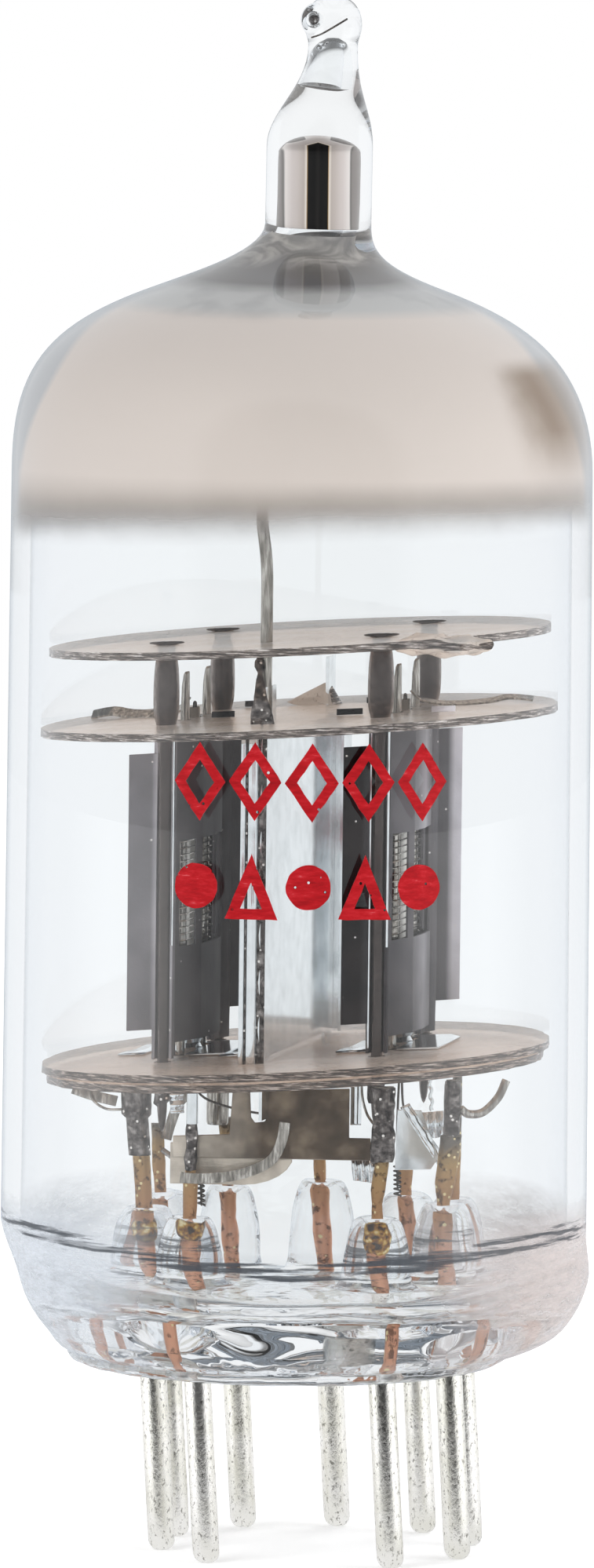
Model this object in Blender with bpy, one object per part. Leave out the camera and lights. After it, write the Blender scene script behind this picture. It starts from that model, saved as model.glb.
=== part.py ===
"""Miniature glass vacuum tube: a double triode on nine pins.

The tube stands upright on its pins. The origin is on the bulb's axis, level with the pin tips.
+Z is up, and the front of the tube faces -Y. All sizes are in metres.
"""

import math

import bmesh
import bpy
from mathutils import Matrix, Vector
from mathutils.geometry import interpolate_bezier

MM = 0.001

# Pins: nine places out of ten on the pin circle, the gap faces the front
PIN_CIRCLE_RADIUS = 5.945 * MM
PIN_RADIUS = 0.508 * MM
PIN_LENGTH = 7.1 * MM
PIN_PLACES = 10
PIN_ONE_ANGLE = 298.0
PIN_COUNT = 9
PIN_LEAN = 3.4
PIN_SHIFT = 1.0 * MM
PIN_ROUNDING = 0.42 * MM
PIN_SEAL_LENGTH = 1.55 * MM
WELD_GAP = 0.05 * MM
SEAL_CLEARANCE = 0.03 * MM

# Stem: the pressed glass button that carries the pins
STEM_THICKNESS = 2.8 * MM
STEM_FLAT_RADIUS = 7.05 * MM
STEM_CORNER = 0.5 * MM
BOSS_RADIUS = 1.35 * MM
BOSS_FLARE = 0.15 * MM
BOSS_ROOT = 0.4 * MM
BOSS_HEIGHT = 3.8 * MM
BOSS_SHIFT = 0.29 * MM

# Bulb
BULB_RADIUS = 11.12 * MM
SHOULDER_RADIUS = 10.97 * MM
GLASS_WALL = 0.75 * MM
SEAM_RADIUS = 8.4 * MM
SEAM_GAP = 0.05 * MM
FOOT_HEIGHT = 5.4 * MM
FOOT_CORNER_INSET = 0.5 * MM
FOOT_CORNER_HEIGHT = 1.1 * MM
FOOT_ROUND_HEIGHT = 3.9 * MM
FOOT_ROUND_INSET = 0.2 * MM
STRAIGHT_LENGTH = 28.4 * MM
SHOULDER_HEIGHT = 7.0 * MM
SHOULDER_CORNER_DROP = 2.05 * MM
SHOULDER_END_RADIUS = 5.33 * MM
FLARE_HEIGHT = 2.4 * MM
NECK_RADIUS = 2.0 * MM
NECK_BORE = 1.0 * MM
NECK_LENGTH = 2.9 * MM
NECK_CORNER_DROP = 1.15 * MM
BORE_ABOVE_NECK = 0.5 * MM
BORE_ROUND = 1.1 * MM
TIP_TAPER = 3.8 * MM
TIP_RADIUS = 0.93 * MM
DROP_RADIUS = 1.08 * MM
DROP_HEIGHT = 1.9 * MM
NECK_OFFSET = 0.42 * MM
TIP_OFFSET = 0.8 * MM
SHOULDER_OFFSET = -0.25 * MM
SEAL_OFFSET = -0.3 * MM
FOOT_BULGE = 0.4 * MM
BULGE_START = 1.4 * MM
BULGE_END = 3.2 * MM
BULB_SEGMENTS = 36

# Cage: the electrode structure between the micas
CAGE_TURN = -14.0
CAGE_RACK = 3.6
CAGE_STANDOFF = 8.5 * MM
MICA_THICKNESS = 0.3 * MM
MICA_STACK_GAP = 0.1 * MM
BOTTOM_MICA_CLEARANCE = 0.69 * MM
LOWEST_MICA_CLEARANCE = 0.89 * MM
UPPER_MICA_CLEARANCE = 0.47 * MM
TOP_MICA_CLEARANCE = 0.75 * MM
ANODE_SPAN = 12.4 * MM
TOP_SPAN = 2.7 * MM
MICA_SEGMENTS = 40
MICA_NOTCH_ANGLES = (118.0, 298.0)
MICA_NOTCH_HALF_ANGLE = 6.0
MICA_NOTCH_DEPTH = 0.34 * MM
HOLE_CLEARANCE = 0.05 * MM

# Triodes: one on each side of the shield
TRIODE_SPACING = 8.2 * MM
POST_SPACING = 8.1 * MM
POST_RADIUS = 0.27 * MM
POST_BULGE = 0.46 * MM
POST_FOOT = 2.1 * MM
POST_HEAD_LENGTH = 1.25 * MM
POST_HEAD_THICKNESS = 0.12 * MM
SHEET = 0.12 * MM
SHEET_GAP = 0.04 * MM
LOBE_CLEARANCE = 0.03 * MM
ANODE_HALF_WIDTH = 0.78 * MM
ANODE_CREASE_WIDTH = 0.64 * MM
ANODE_CREASE_Y = 1.5 * MM
ANODE_BOX_END = 2.65 * MM
CREASE_BAR = 0.22 * MM
BOX_END_STEP = 0.06 * MM
FLANGE_START = 0.1 * MM
LOBE_END_ANGLE = 205.0
LOBE_STEPS = 4
WING_LENGTH = 1.0 * MM
WING_SWEEP = 20.0
LOBE_END_GAP = 0.12 * MM
BOX_END_GAP = 0.6 * MM
WING_BOTTOM_GAP = 1.25 * MM
WING_TOP_GAP = 0.75 * MM
WINDOW_HEIGHT = 4.0 * MM

# Grid, cathode and heater
ROD_SPACING = 3.1 * MM
ROD_RADIUS = 0.24 * MM
ROD_FOOT = 0.5 * MM
ROD_TOP = 1.85 * MM
ROD_CHISEL = 0.5 * MM
WIRE_RADIUS = 0.045 * MM
WIRE_CLEARANCE = 0.03 * MM
WINDING_PITCH = 0.62 * MM
WINDING_END_GAP = 1.1 * MM
CATHODE_HALF_WIDTH = 0.21 * MM
CATHODE_HALF_DEPTH = 0.475 * MM
CATHODE_WALL = 0.06 * MM
CATHODE_FOOT = 0.35 * MM
CATHODE_TOP = 1.0 * MM
HEATER_RADIUS = 0.06 * MM
HEATER_HALF_SPAN = 0.2 * MM
HEATER_TOP_GAP = 0.4 * MM

# Shield between the triodes
SHIELD_HALF_WIDTH = 5.75 * MM
SHIELD_HEM = 0.6 * MM
SHIELD_HEM_DEPTH = 1.2 * MM
SHIELD_END_GAP = 0.15 * MM
REAR_TAB = (4.4 * MM, 5.5 * MM)
FOOT_TAB = (-5.3 * MM, -4.3 * MM)
REAR_TAB_TOP = 1.85 * MM
FRONT_TAB_TOP = 1.35 * MM
FOOT_TAB_DEPTH = 1.5 * MM
REAR_FOOT_DEPTH = 0.6 * MM

# Getter: its wire stands on the upper mica between the shield's front prongs
GETTER_WIRE_RADIUS = 0.25 * MM
GETTER_WIRE_AT = (-0.1 * MM, -4.75 * MM)
GETTER_PRONG = 0.6 * MM
GETTER_RING_RADIUS = 2.6 * MM
GETTER_RING_WIDTH = 0.8 * MM
GETTER_RING_HEIGHT = 0.5 * MM
GETTER_RING_RISE = 2.45 * MM
GETTER_FOOT_GAP = 0.15 * MM

# Base plates, leads, ribbons and straps; the hand bends are counted in units of BEND
BASE_PLATE_X = (-0.95 * MM, 1.95 * MM)
BASE_PLATE_Y = (-2.3 * MM, 2.6 * MM)
BASE_PLATE_THICKNESS = 0.08 * MM
BASE_SLOT_CLEARANCE = 0.12 * MM
SEAT_GAP = 0.03 * MM
LEAD_RADIUS = 0.3 * MM
BEND = 1.0 * MM
RIBBON_THICKNESS = 0.08 * MM
RIBBON_WIDTH = 0.4 * MM
CATHODE_RIBBON_WIDTH = 0.5 * MM
STRAP_THICKNESS = 0.12 * MM
STRAP_SETBACK = 0.3 * MM
STRAP_SKEW = 0.55 * MM
CHANNEL_SETBACK = 0.75 * MM

# Finishes: colour, roughness, metallic value and transmission
GLASS = ((0.86, 0.9, 0.9), 0.03, 0.0, 1.0)
NICKEL = ((0.62, 0.6, 0.56), 0.3, 1.0, 0.0)
COPPER = ((0.62, 0.33, 0.22), 0.35, 1.0, 0.0)
MICA = ((0.66, 0.6, 0.54), 0.35, 0.0, 0.3)
CARBON = ((0.035, 0.033, 0.034), 0.55, 0.2, 0.0)
STRAP = ((0.23, 0.19, 0.14), 0.35, 1.0, 0.0)
HEATER = ((0.08, 0.07, 0.065), 0.6, 0.3, 0.0)

# Heights worked out from the sizes above
STEM_FLOOR = PIN_LENGTH + STEM_THICKNESS
BOSS_TOP = STEM_FLOOR + BOSS_HEIGHT
WELD_Z = PIN_LENGTH + PIN_SEAL_LENGTH
STRAIGHT_START = PIN_LENGTH + FOOT_HEIGHT
STRAIGHT_END = STRAIGHT_START + STRAIGHT_LENGTH
SHOULDER_END = STRAIGHT_END + SHOULDER_HEIGHT
NECK_START = SHOULDER_END + FLARE_HEIGHT
NECK_END = NECK_START + NECK_LENGTH
DROP_START = NECK_END + TIP_TAPER
TUBE_TOP = DROP_START + DROP_HEIGHT
CAGE_FOOT = STEM_FLOOR + CAGE_STANDOFF
BOTTOM_MICA_Z = CAGE_FOOT + MICA_THICKNESS + MICA_STACK_GAP
CAGE_FLOOR = BOTTOM_MICA_Z + MICA_THICKNESS
UPPER_MICA_Z = CAGE_FLOOR + ANODE_SPAN
UPPER_FLOOR = UPPER_MICA_Z + MICA_THICKNESS
TOP_MICA_Z = UPPER_FLOOR + TOP_SPAN
TOP_FLOOR = TOP_MICA_Z + MICA_THICKNESS
GRID_HALF_WIDTH = ROD_RADIUS + WIRE_CLEARANCE + WIRE_RADIUS
LOBE_RADIUS = POST_RADIUS + LOBE_CLEARANCE + SHEET / 2

# How far a handle of a rounded corner reaches, as a share of the way to the sharp corner
ROUND = 0.6
SHOULDER_ROUND = (0.85, 0.63)
FLARE_ROUND = (0.52, 0.96)
MERGE_DISTANCE = 1e-7


def clear_scene():
    """Remove the objects that are already in the file."""
    for old in list(bpy.data.objects):
        bpy.data.objects.remove(old, do_unlink=True)


def surface(name, colour, roughness, metallic, transmission):
    """Make a plain material from its colour, roughness and metallic value."""
    made = bpy.data.materials.new(name)
    made.use_nodes = True
    shader = made.node_tree.nodes["Principled BSDF"]
    shader.inputs["Base Color"].default_value = (*colour, 1.0)
    shader.inputs["Roughness"].default_value = roughness
    shader.inputs["Metallic"].default_value = metallic
    shader.inputs["Transmission Weight"].default_value = transmission
    made.diffuse_color = (*colour, 1.0)
    return made


def add_piece(name, shape, finish):
    """Turn a finished bmesh into a named object with its own material."""
    bmesh.ops.recalc_face_normals(shape, faces=shape.faces)
    mesh = bpy.data.meshes.new(name)
    shape.to_mesh(mesh)
    shape.free()
    mesh.shade_smooth()
    mesh.set_sharp_from_angle(angle=math.radians(35))
    mesh.materials.append(surface(name + "_finish", *finish))
    piece = bpy.data.objects.new(name, mesh)
    bpy.context.scene.collection.objects.link(piece)
    return piece


def hide_cutter(cutter):
    """Mark an object that only cuts others."""
    cutter.hide_render = True
    cutter.display_type = "WIRE"


def cut(piece, cutter, operation="DIFFERENCE"):
    """Cut or join a piece with another object."""
    modifier = piece.modifiers.new(operation.title(), "BOOLEAN")
    modifier.operation = operation
    modifier.solver = "EXACT"
    modifier.object = cutter
    hide_cutter(cutter)


def circle(radius, sides, depth=None):
    """Points round a circle, or round an ellipse with its own depth."""
    depth = radius if depth is None else depth
    turns = [2.0 * math.pi * (i + 0.5) / sides for i in range(sides)]
    return [(radius * math.cos(turn), depth * math.sin(turn)) for turn in turns]


def strip(width, thickness):
    """The four corners of a ribbon's section."""
    half, deep = width / 2, thickness / 2
    return [(half, deep), (-half, deep), (-half, -deep), (half, -deep)]


def skin(rings):
    """Join rings of points into one closed body with flat ends."""
    shape = bmesh.new()
    loops = [[shape.verts.new(point) for point in ring] for ring in rings]
    count = len(loops[0])
    for below, above in zip(loops, loops[1:]):
        for i in range(count):
            j = (i + 1) % count
            shape.faces.new((below[i], below[j], above[j], above[i]))
    shape.faces.new(list(reversed(loops[0])))
    shape.faces.new(loops[-1])
    return shape


def sweep(path, section, side=(1.0, 0.0, 0.0)):
    """Carry a section along a path, without twisting it."""
    points = [Vector(point) for point in path]
    side = Vector(side)
    rings = []
    for i, point in enumerate(points):
        ahead = points[min(i + 1, len(points) - 1)]
        behind = points[max(i - 1, 0)]
        tangent = (ahead - behind).normalized()
        side = (side - tangent * side.dot(tangent)).normalized()
        other = tangent.cross(side)
        rings.append([point + side * a + other * b for a, b in section])
    return skin(rings)


def smooth_path(points, steps):
    """Read a smooth curve through the given points."""
    points = [Vector(point) for point in points]
    last = len(points) - 1
    path = []
    for i in range(last):
        before = points[max(i - 1, 0)]
        start, end = points[i], points[i + 1]
        after = points[min(i + 2, last)]
        near = start + (end - before) / 6
        far = end - (after - start) / 6
        path += interpolate_bezier(start, near, far, end, steps + 1)[:-1]
    return path + [points[last]]


def turned(profile, segments, closed=False):
    """Spin an outline of (radius, height) points about the Z axis."""
    shape = bmesh.new()
    verts = [shape.verts.new((radius, 0.0, height)) for radius, height in profile]
    edges = [shape.edges.new(pair) for pair in zip(verts, verts[1:])]
    if closed:
        edges.append(shape.edges.new((verts[-1], verts[0])))
    bmesh.ops.spin(shape, geom=verts + edges, axis=(0, 0, 1), cent=(0, 0, 0),
                   angle=2.0 * math.pi, steps=segments, use_merge=True)
    bmesh.ops.remove_doubles(shape, verts=shape.verts, dist=MERGE_DISTANCE)
    return shape


def prism(outline, low, high):
    """Raise a flat outline from one height to another."""
    shape = bmesh.new()
    face = shape.faces.new([shape.verts.new((x, y, low)) for x, y in outline])
    raised = bmesh.ops.extrude_face_region(shape, geom=[face])
    verts = [item for item in raised["geom"] if isinstance(item, bmesh.types.BMVert)]
    bmesh.ops.translate(shape, verts=verts, vec=(0.0, 0.0, high - low))
    return shape


def merged(shapes):
    """Put several separate shapes into one bmesh."""
    whole = bmesh.new()
    for shape in shapes:
        mesh = bpy.data.meshes.new("joined")
        shape.to_mesh(mesh)
        shape.free()
        whole.from_mesh(mesh)
        bpy.data.meshes.remove(mesh)
    return whole


def moved(shape, x=0.0, y=0.0, z=0.0):
    """Shift a shape and hand it back."""
    bmesh.ops.translate(shape, verts=shape.verts, vec=(x, y, z))
    return shape


def turned_about_z(shape, degrees):
    """Turn a shape about the Z axis and hand it back."""
    turn = Matrix.Rotation(math.radians(degrees), 3, "Z")
    bmesh.ops.rotate(shape, verts=shape.verts, cent=(0, 0, 0), matrix=turn)
    return shape


def rounded(start, corner, end, steps, reach=(ROUND, ROUND)):
    """A corner of a profile rounded off, from start up to just before its end."""
    start, corner, end = (Vector((*point, 0.0)) for point in (start, corner, end))
    near, far = start.lerp(corner, reach[0]), end.lerp(corner, reach[1])
    return [(point.x, point.y) for point in interpolate_bezier(start, near, far, end, steps + 1)[:-1]]


def eased(start, end, steps, reach=(0.35, 0.45)):
    """A profile that goes from one radius to another and is upright at both ends."""
    rise = end[1] - start[1]
    corners = [start, (start[0], start[1] + reach[0] * rise), (end[0], end[1] - reach[1] * rise), end]
    points = interpolate_bezier(*(Vector((*point, 0.0)) for point in corners), steps + 1)[:-1]
    return [(point.x, point.y) for point in points]


def cage_matrix():
    """The cage is turned about Z, and racked so that its micas rise to the right."""
    rack = Matrix.Identity(4)
    rack[2][0] = math.tan(math.radians(CAGE_RACK))
    return rack @ Matrix.Rotation(math.radians(CAGE_TURN), 4, "Z")


def in_cage(shape):
    """Carry a shape from the cage's own frame to its place in the bulb."""
    bmesh.ops.transform(shape, matrix=cage_matrix(), verts=shape.verts)
    return shape


def cage_point(x, y, z):
    """A point of the cage's own frame, in the tube's frame."""
    return cage_matrix() @ Vector((x, y, z))


def axis_wander(height):
    """How far the glass lies to the right of the tube's axis at a height."""
    stops = [
        (PIN_LENGTH, SEAL_OFFSET),
        (PIN_LENGTH + BULGE_START, FOOT_BULGE),
        (PIN_LENGTH + BULGE_END, FOOT_BULGE),
        (STRAIGHT_START, 0.0),
        (STRAIGHT_END, 0.0),
        (SHOULDER_END, SHOULDER_OFFSET),
        (NECK_START, NECK_OFFSET),
        (NECK_END, NECK_OFFSET),
        (DROP_START, TIP_OFFSET),
    ]
    if height <= stops[0][0]:
        return stops[0][1]
    for (low, start), (high, end) in zip(stops, stops[1:]):
        if height <= high:
            share = (height - low) / (high - low)
            ease = share * share * (3.0 - 2.0 * share)
            return start + (end - start) * ease
    return stops[-1][1]


def drawn_by_hand(shape):
    """Let the glass wander off its axis, as it was sealed and drawn off by hand."""
    for vert in shape.verts:
        vert.co.x += axis_wander(vert.co.z)
    return shape


def bulb_outside():
    """Outer profile of the bulb, from its seam up to the drop on top."""
    seam = (SEAM_RADIUS + SEAM_GAP, PIN_LENGTH + STEM_CORNER)
    foot_corner = (BULB_RADIUS - FOOT_CORNER_INSET, PIN_LENGTH + FOOT_CORNER_HEIGHT)
    foot_end = (BULB_RADIUS - FOOT_ROUND_INSET, PIN_LENGTH + FOOT_ROUND_HEIGHT)
    shoulder_start = (SHOULDER_RADIUS, STRAIGHT_END)
    shoulder_corner = (SHOULDER_RADIUS, SHOULDER_END - SHOULDER_CORNER_DROP)
    shoulder_end = (SHOULDER_END_RADIUS, SHOULDER_END)
    neck_corner = (NECK_RADIUS, NECK_START - NECK_CORNER_DROP)
    drop_middle = (DROP_RADIUS, DROP_START + 0.4 * DROP_HEIGHT)
    return (
        rounded(seam, foot_corner, foot_end, 5)
        + [foot_end, (BULB_RADIUS, STRAIGHT_START)]
        + rounded(shoulder_start, shoulder_corner, shoulder_end, 7, SHOULDER_ROUND)
        + rounded(shoulder_end, neck_corner, (NECK_RADIUS, NECK_START), 5, FLARE_ROUND)
        + [(NECK_RADIUS, NECK_START)]
        + eased((NECK_RADIUS, NECK_END), (TIP_RADIUS, DROP_START), 4)
        + eased((TIP_RADIUS, DROP_START), drop_middle, 2)
        + rounded(drop_middle, (DROP_RADIUS, TUBE_TOP), (0.0, TUBE_TOP), 4)
        + [(0.0, TUBE_TOP)]
    )


def bulb_inside():
    """Inner profile of the bulb, from the top of the exhaust bore down to the seam."""
    bore_top = NECK_END + BORE_ABOVE_NECK
    bore_foot = (NECK_BORE, NECK_START - BORE_ABOVE_NECK)
    neck_corner = (NECK_BORE, NECK_START - NECK_CORNER_DROP - GLASS_WALL)
    shoulder_top = (SHOULDER_END_RADIUS - GLASS_WALL / 2, SHOULDER_END - GLASS_WALL)
    shoulder_inner = SHOULDER_RADIUS - GLASS_WALL
    shoulder_corner = (shoulder_inner, SHOULDER_END - SHOULDER_CORNER_DROP - GLASS_WALL)
    foot_inner = BULB_RADIUS - GLASS_WALL
    seam = (SEAM_RADIUS + SEAM_GAP, STEM_FLOOR)
    return (
        rounded((0.0, bore_top), (NECK_BORE, bore_top), (NECK_BORE, bore_top - BORE_ROUND), 3)
        + rounded(bore_foot, neck_corner, shoulder_top, 4, SHOULDER_ROUND)
        + rounded(shoulder_top, shoulder_corner, (shoulder_inner, STRAIGHT_END), 6, SHOULDER_ROUND[::-1])
        + [(shoulder_inner, STRAIGHT_END)]
        + rounded((foot_inner, STRAIGHT_START), (foot_inner, STEM_FLOOR), seam, 4)
        + [seam]
    )


def glass_bulb():
    """Blown tube, shoulder and drawn-off exhaust tip, open where the stem closes it."""
    shape = turned(bulb_outside() + bulb_inside(), BULB_SEGMENTS, closed=True)
    add_piece("glass_bulb", drawn_by_hand(shape), GLASS)


def pin_angle(number):
    """Direction of a pin from the tube's axis, seen from above."""
    step = 360.0 / PIN_PLACES
    return math.radians(PIN_ONE_ANGLE + step * (number - 1))


def pin_axis(number, height):
    """Centre of a pin or of its lead at a height: all of them lean to the right going down."""
    lean = PIN_SHIFT - height * math.tan(math.radians(PIN_LEAN))
    angle = pin_angle(number)
    return Vector((PIN_CIRCLE_RADIUS * math.cos(angle) + lean, PIN_CIRCLE_RADIUS * math.sin(angle), height))


def pin_rings(number, heights_and_radii, sides=10):
    """Level rings along a pin's leaning axis."""
    rings = []
    for height, radius in heights_and_radii:
        centre = pin_axis(number, height)
        rings.append([centre + Vector((x, y, 0.0)) for x, y in circle(radius, sides)])
    return rings


def boss(number):
    """Domed glass boss round one lead, sunk a little into the button it is part of."""
    shoulder = (BOSS_RADIUS, 0.35 * BOSS_HEIGHT)
    dome = rounded(shoulder, (BOSS_RADIUS, BOSS_HEIGHT), (0.0, BOSS_HEIGHT), 4)
    profile = [(0.0, -BOSS_ROOT), (BOSS_RADIUS + BOSS_FLARE, -BOSS_ROOT)] + dome + [(0.0, BOSS_HEIGHT)]
    angle = pin_angle(number)
    return moved(turned(profile, 12), PIN_CIRCLE_RADIUS * math.cos(angle) + BOSS_SHIFT,
                 PIN_CIRCLE_RADIUS * math.sin(angle), STEM_FLOOR)


def glass_stem():
    """Pressed glass button: a thick disc with nine bosses, bored for the pins and leads."""
    flat, top = PIN_LENGTH, STEM_FLOOR
    corner_end = (SEAM_RADIUS, flat + STEM_CORNER)
    profile = [(0.0, flat)] + rounded((STEM_FLAT_RADIUS, flat), (SEAM_RADIUS, flat), corner_end, 3)
    profile += [corner_end, (SEAM_RADIUS, top), (0.0, top)]
    stem = add_piece("glass_stem", drawn_by_hand(turned(profile, BULB_SEGMENTS)), GLASS)
    numbers = range(1, PIN_COUNT + 1)
    bosses = add_piece("boss_guide", merged([boss(number) for number in numbers]), GLASS)
    cut(stem, bosses, "UNION")
    bores = []
    for number in numbers:
        pin_bore, lead_bore = PIN_RADIUS + SEAL_CLEARANCE, LEAD_RADIUS + SEAL_CLEARANCE
        steps = [(PIN_LENGTH - MM, pin_bore), (WELD_Z, pin_bore)]
        steps += [(WELD_Z, lead_bore), (BOSS_TOP + MM, lead_bore)]
        bores.append(skin(pin_rings(number, steps)))
    cut(stem, add_piece("bore_cutter", merged(bores), GLASS))


def pin(number):
    """Outer pin: nickel wire with a rounded end, up to its weld inside the glass."""
    tip = [(0.0, 0.45 * PIN_RADIUS), (0.3 * PIN_ROUNDING, 0.8 * PIN_RADIUS), (PIN_ROUNDING, PIN_RADIUS)]
    rings = pin_rings(number, tip + [(WELD_Z - WELD_GAP, PIN_RADIUS)])
    add_piece(f"pin_{number}", skin(rings), NICKEL)


def beside(number, right, back, level):
    """A point off a lead's own axis by so many bends, at a level from the bosses (0) to the cage (1)."""
    height = BOSS_TOP + level * (CAGE_FOOT - BOSS_TOP)
    return pin_axis(number, height) + Vector((right, back, 0.0)) * BEND


def lead(number, stops):
    """Inner lead: round in the glass, then bent and flattened at its stops.

    A stop is (right, back, level, half width, half depth), all but the level in units of BEND.
    """
    sides = 8
    rings = pin_rings(number, [(WELD_Z + WELD_GAP, LEAD_RADIUS), (BOSS_TOP, LEAD_RADIUS)], sides)
    for right, back, level, half_width, half_depth in stops:
        centre = beside(number, right, back, level)
        section = circle(half_width * BEND, sides, half_depth * BEND)
        rings.append([centre + Vector((a, b, 0.0)) for a, b in section])
    add_piece(f"lead_{number}", skin(rings), COPPER)


def all_leads():
    """The nine inner leads, each bent and flattened in its own way."""
    lead(1, [(0.18, -0.15, 0.19, 0.3, 0.25), (0.37, -0.25, 0.34, 0.45, 0.16),
             (0.54, -0.25, 0.96, 0.45, 0.16)])
    lead(2, [(0.24, 0.0, 0.23, 0.4, 0.25), (0.45, 0.0, 0.47, 0.4, 0.2), (0.53, 0.0, 0.55, 0.26, 0.2),
             (0.64, 0.0, 0.96, 0.26, 0.2)])
    lead(3, [(0.2, 0.0, 0.32, 0.22, 0.22), (0.43, 0.0, 0.96, 0.18, 0.22)])
    lead(4, [(0.03, 0.0, 0.15, 0.34, 0.22), (0.09, 0.0, 0.38, 0.3, 0.2)])
    lead(5, [(-0.02, 0.0, 0.15, 0.25, 0.25), (0.02, 0.0, 0.49, 0.25, 0.22)])
    lead(6, [(0.05, 0.0, 0.15, 0.28, 0.22), (0.04, -0.05, 0.47, 0.28, 0.2)])
    lead(7, [(-0.02, 0.0, 0.15, 0.26, 0.16), (0.01, 0.0, 0.47, 0.24, 0.14)])
    lead(8, [(0.0, 0.0, 0.3, 0.33, 0.3), (-0.09, 0.0, 0.32, 0.4, 0.28), (-0.12, 0.0, 0.56, 0.43, 0.28),
             (-0.13, 0.0, 0.66, 0.58, 0.4), (-0.08, 0.0, 0.88, 0.5, 0.4)])
    lead(9, [(0.15, 0.0, 0.19, 0.28, 0.25), (0.29, 0.0, 0.53, 0.24, 0.22), (0.39, 0.0, 0.89, 0.21, 0.18)])


def pair_places(spacing):
    """Cage places of a front and a rear piece in each triode: (side, end, x, y)."""
    corners = [(side, end) for side in (-1, 1) for end in (-1, 1)]
    return [(side, end, side * TRIODE_SPACING / 2, end * spacing / 2) for side, end in corners]


def post_places():
    """Cage places of the four anode posts."""
    return pair_places(POST_SPACING)


def rod_places():
    """Cage places of the four grid rods."""
    return pair_places(ROD_SPACING)


def side_name(side):
    return "left" if side < 0 else "right"


def end_name(end):
    return "front" if end < 0 else "rear"


def round_hole(x, y, radius, low, high):
    """A hole through the micas for a round piece."""
    return moved(prism(circle(radius + HOLE_CLEARANCE, 8), low, high), x, y)


def slot(x, y_low, y_high, low, high):
    """A slot through the micas for a tab of the shield."""
    half = SHEET / 2 + HOLE_CLEARANCE
    outline = [(x - half, y_low - HOLE_CLEARANCE), (x + half, y_low - HOLE_CLEARANCE),
               (x + half, y_high + HOLE_CLEARANCE), (x - half, y_high + HOLE_CLEARANCE)]
    return prism(outline, low, high)


def wall_radius(height):
    """Inner radius of the bulb along its straight stretch, which narrows a little upwards."""
    share = (height - STRAIGHT_START) / STRAIGHT_LENGTH
    return BULB_RADIUS + (SHOULDER_RADIUS - BULB_RADIUS) * share - GLASS_WALL


def mica(name, clearance, floor, holes, notch_angles=()):
    """One mica disc that clears the bulb's wall, with its holes punched."""
    radius = wall_radius(floor) - clearance
    outline = []
    for x, y in circle(radius, MICA_SEGMENTS):
        angle = math.degrees(math.atan2(y, x))
        offs = [abs((angle - notch + 180.0) % 360.0 - 180.0) for notch in notch_angles]
        notched = min(offs, default=180.0) < MICA_NOTCH_HALF_ANGLE
        pull = 1.0 - MICA_NOTCH_DEPTH / radius if notched else 1.0
        outline.append((x * pull, y * pull))
    disc = add_piece(name, in_cage(prism(outline, floor, floor + MICA_THICKNESS)), MICA)
    cutter = add_piece(name + "_punch", in_cage(merged(holes)), MICA)
    cut(disc, cutter)


def cathode_hole(side, low, high):
    """The oblong hole for a cathode sleeve."""
    outline = circle(CATHODE_HALF_WIDTH + HOLE_CLEARANCE, 8, CATHODE_HALF_DEPTH + HOLE_CLEARANCE)
    return moved(prism(outline, low, high), side * TRIODE_SPACING / 2)


def micas():
    """Two stacked discs below the anodes, one above them, and the top disc over the posts."""
    foot = (CAGE_FOOT - MM, CAGE_FLOOR + MM)
    for name, clearance, floor in (("bottom_mica", BOTTOM_MICA_CLEARANCE, BOTTOM_MICA_Z),
                                   ("lowest_mica", LOWEST_MICA_CLEARANCE, CAGE_FOOT)):
        holes = [round_hole(x, y, POST_RADIUS, *foot) for _, _, x, y in post_places()]
        holes += [round_hole(x, y, ROD_RADIUS, *foot) for _, _, x, y in rod_places()]
        holes += [cathode_hole(side, *foot) for side in (-1, 1)]
        holes += [slot(0.0, *tab, *foot) for tab in (FOOT_TAB, REAR_TAB)]
        mica(name, clearance, floor, holes, MICA_NOTCH_ANGLES)
    upper = (UPPER_MICA_Z - MM, UPPER_FLOOR + MM)
    holes = [round_hole(x, y, POST_RADIUS, *upper) for _, _, x, y in post_places()]
    holes += [round_hole(x, y, ROD_RADIUS, *upper) for _, _, x, y in rod_places()]
    holes += [cathode_hole(side, *upper) for side in (-1, 1)]
    holes += [slot(0.0, *tab, *upper) for tab in getter_prongs() + [REAR_TAB]]
    mica("upper_mica", UPPER_MICA_CLEARANCE, UPPER_MICA_Z, holes)
    top = (TOP_MICA_Z - MM, TOP_FLOOR + MM)
    holes = [round_hole(x, y, POST_RADIUS, *top) for _, _, x, y in post_places()]
    holes.append(round_hole(*GETTER_WIRE_AT, GETTER_WIRE_RADIUS, *top))
    mica("top_mica", TOP_MICA_CLEARANCE, TOP_MICA_Z, holes)


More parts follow.
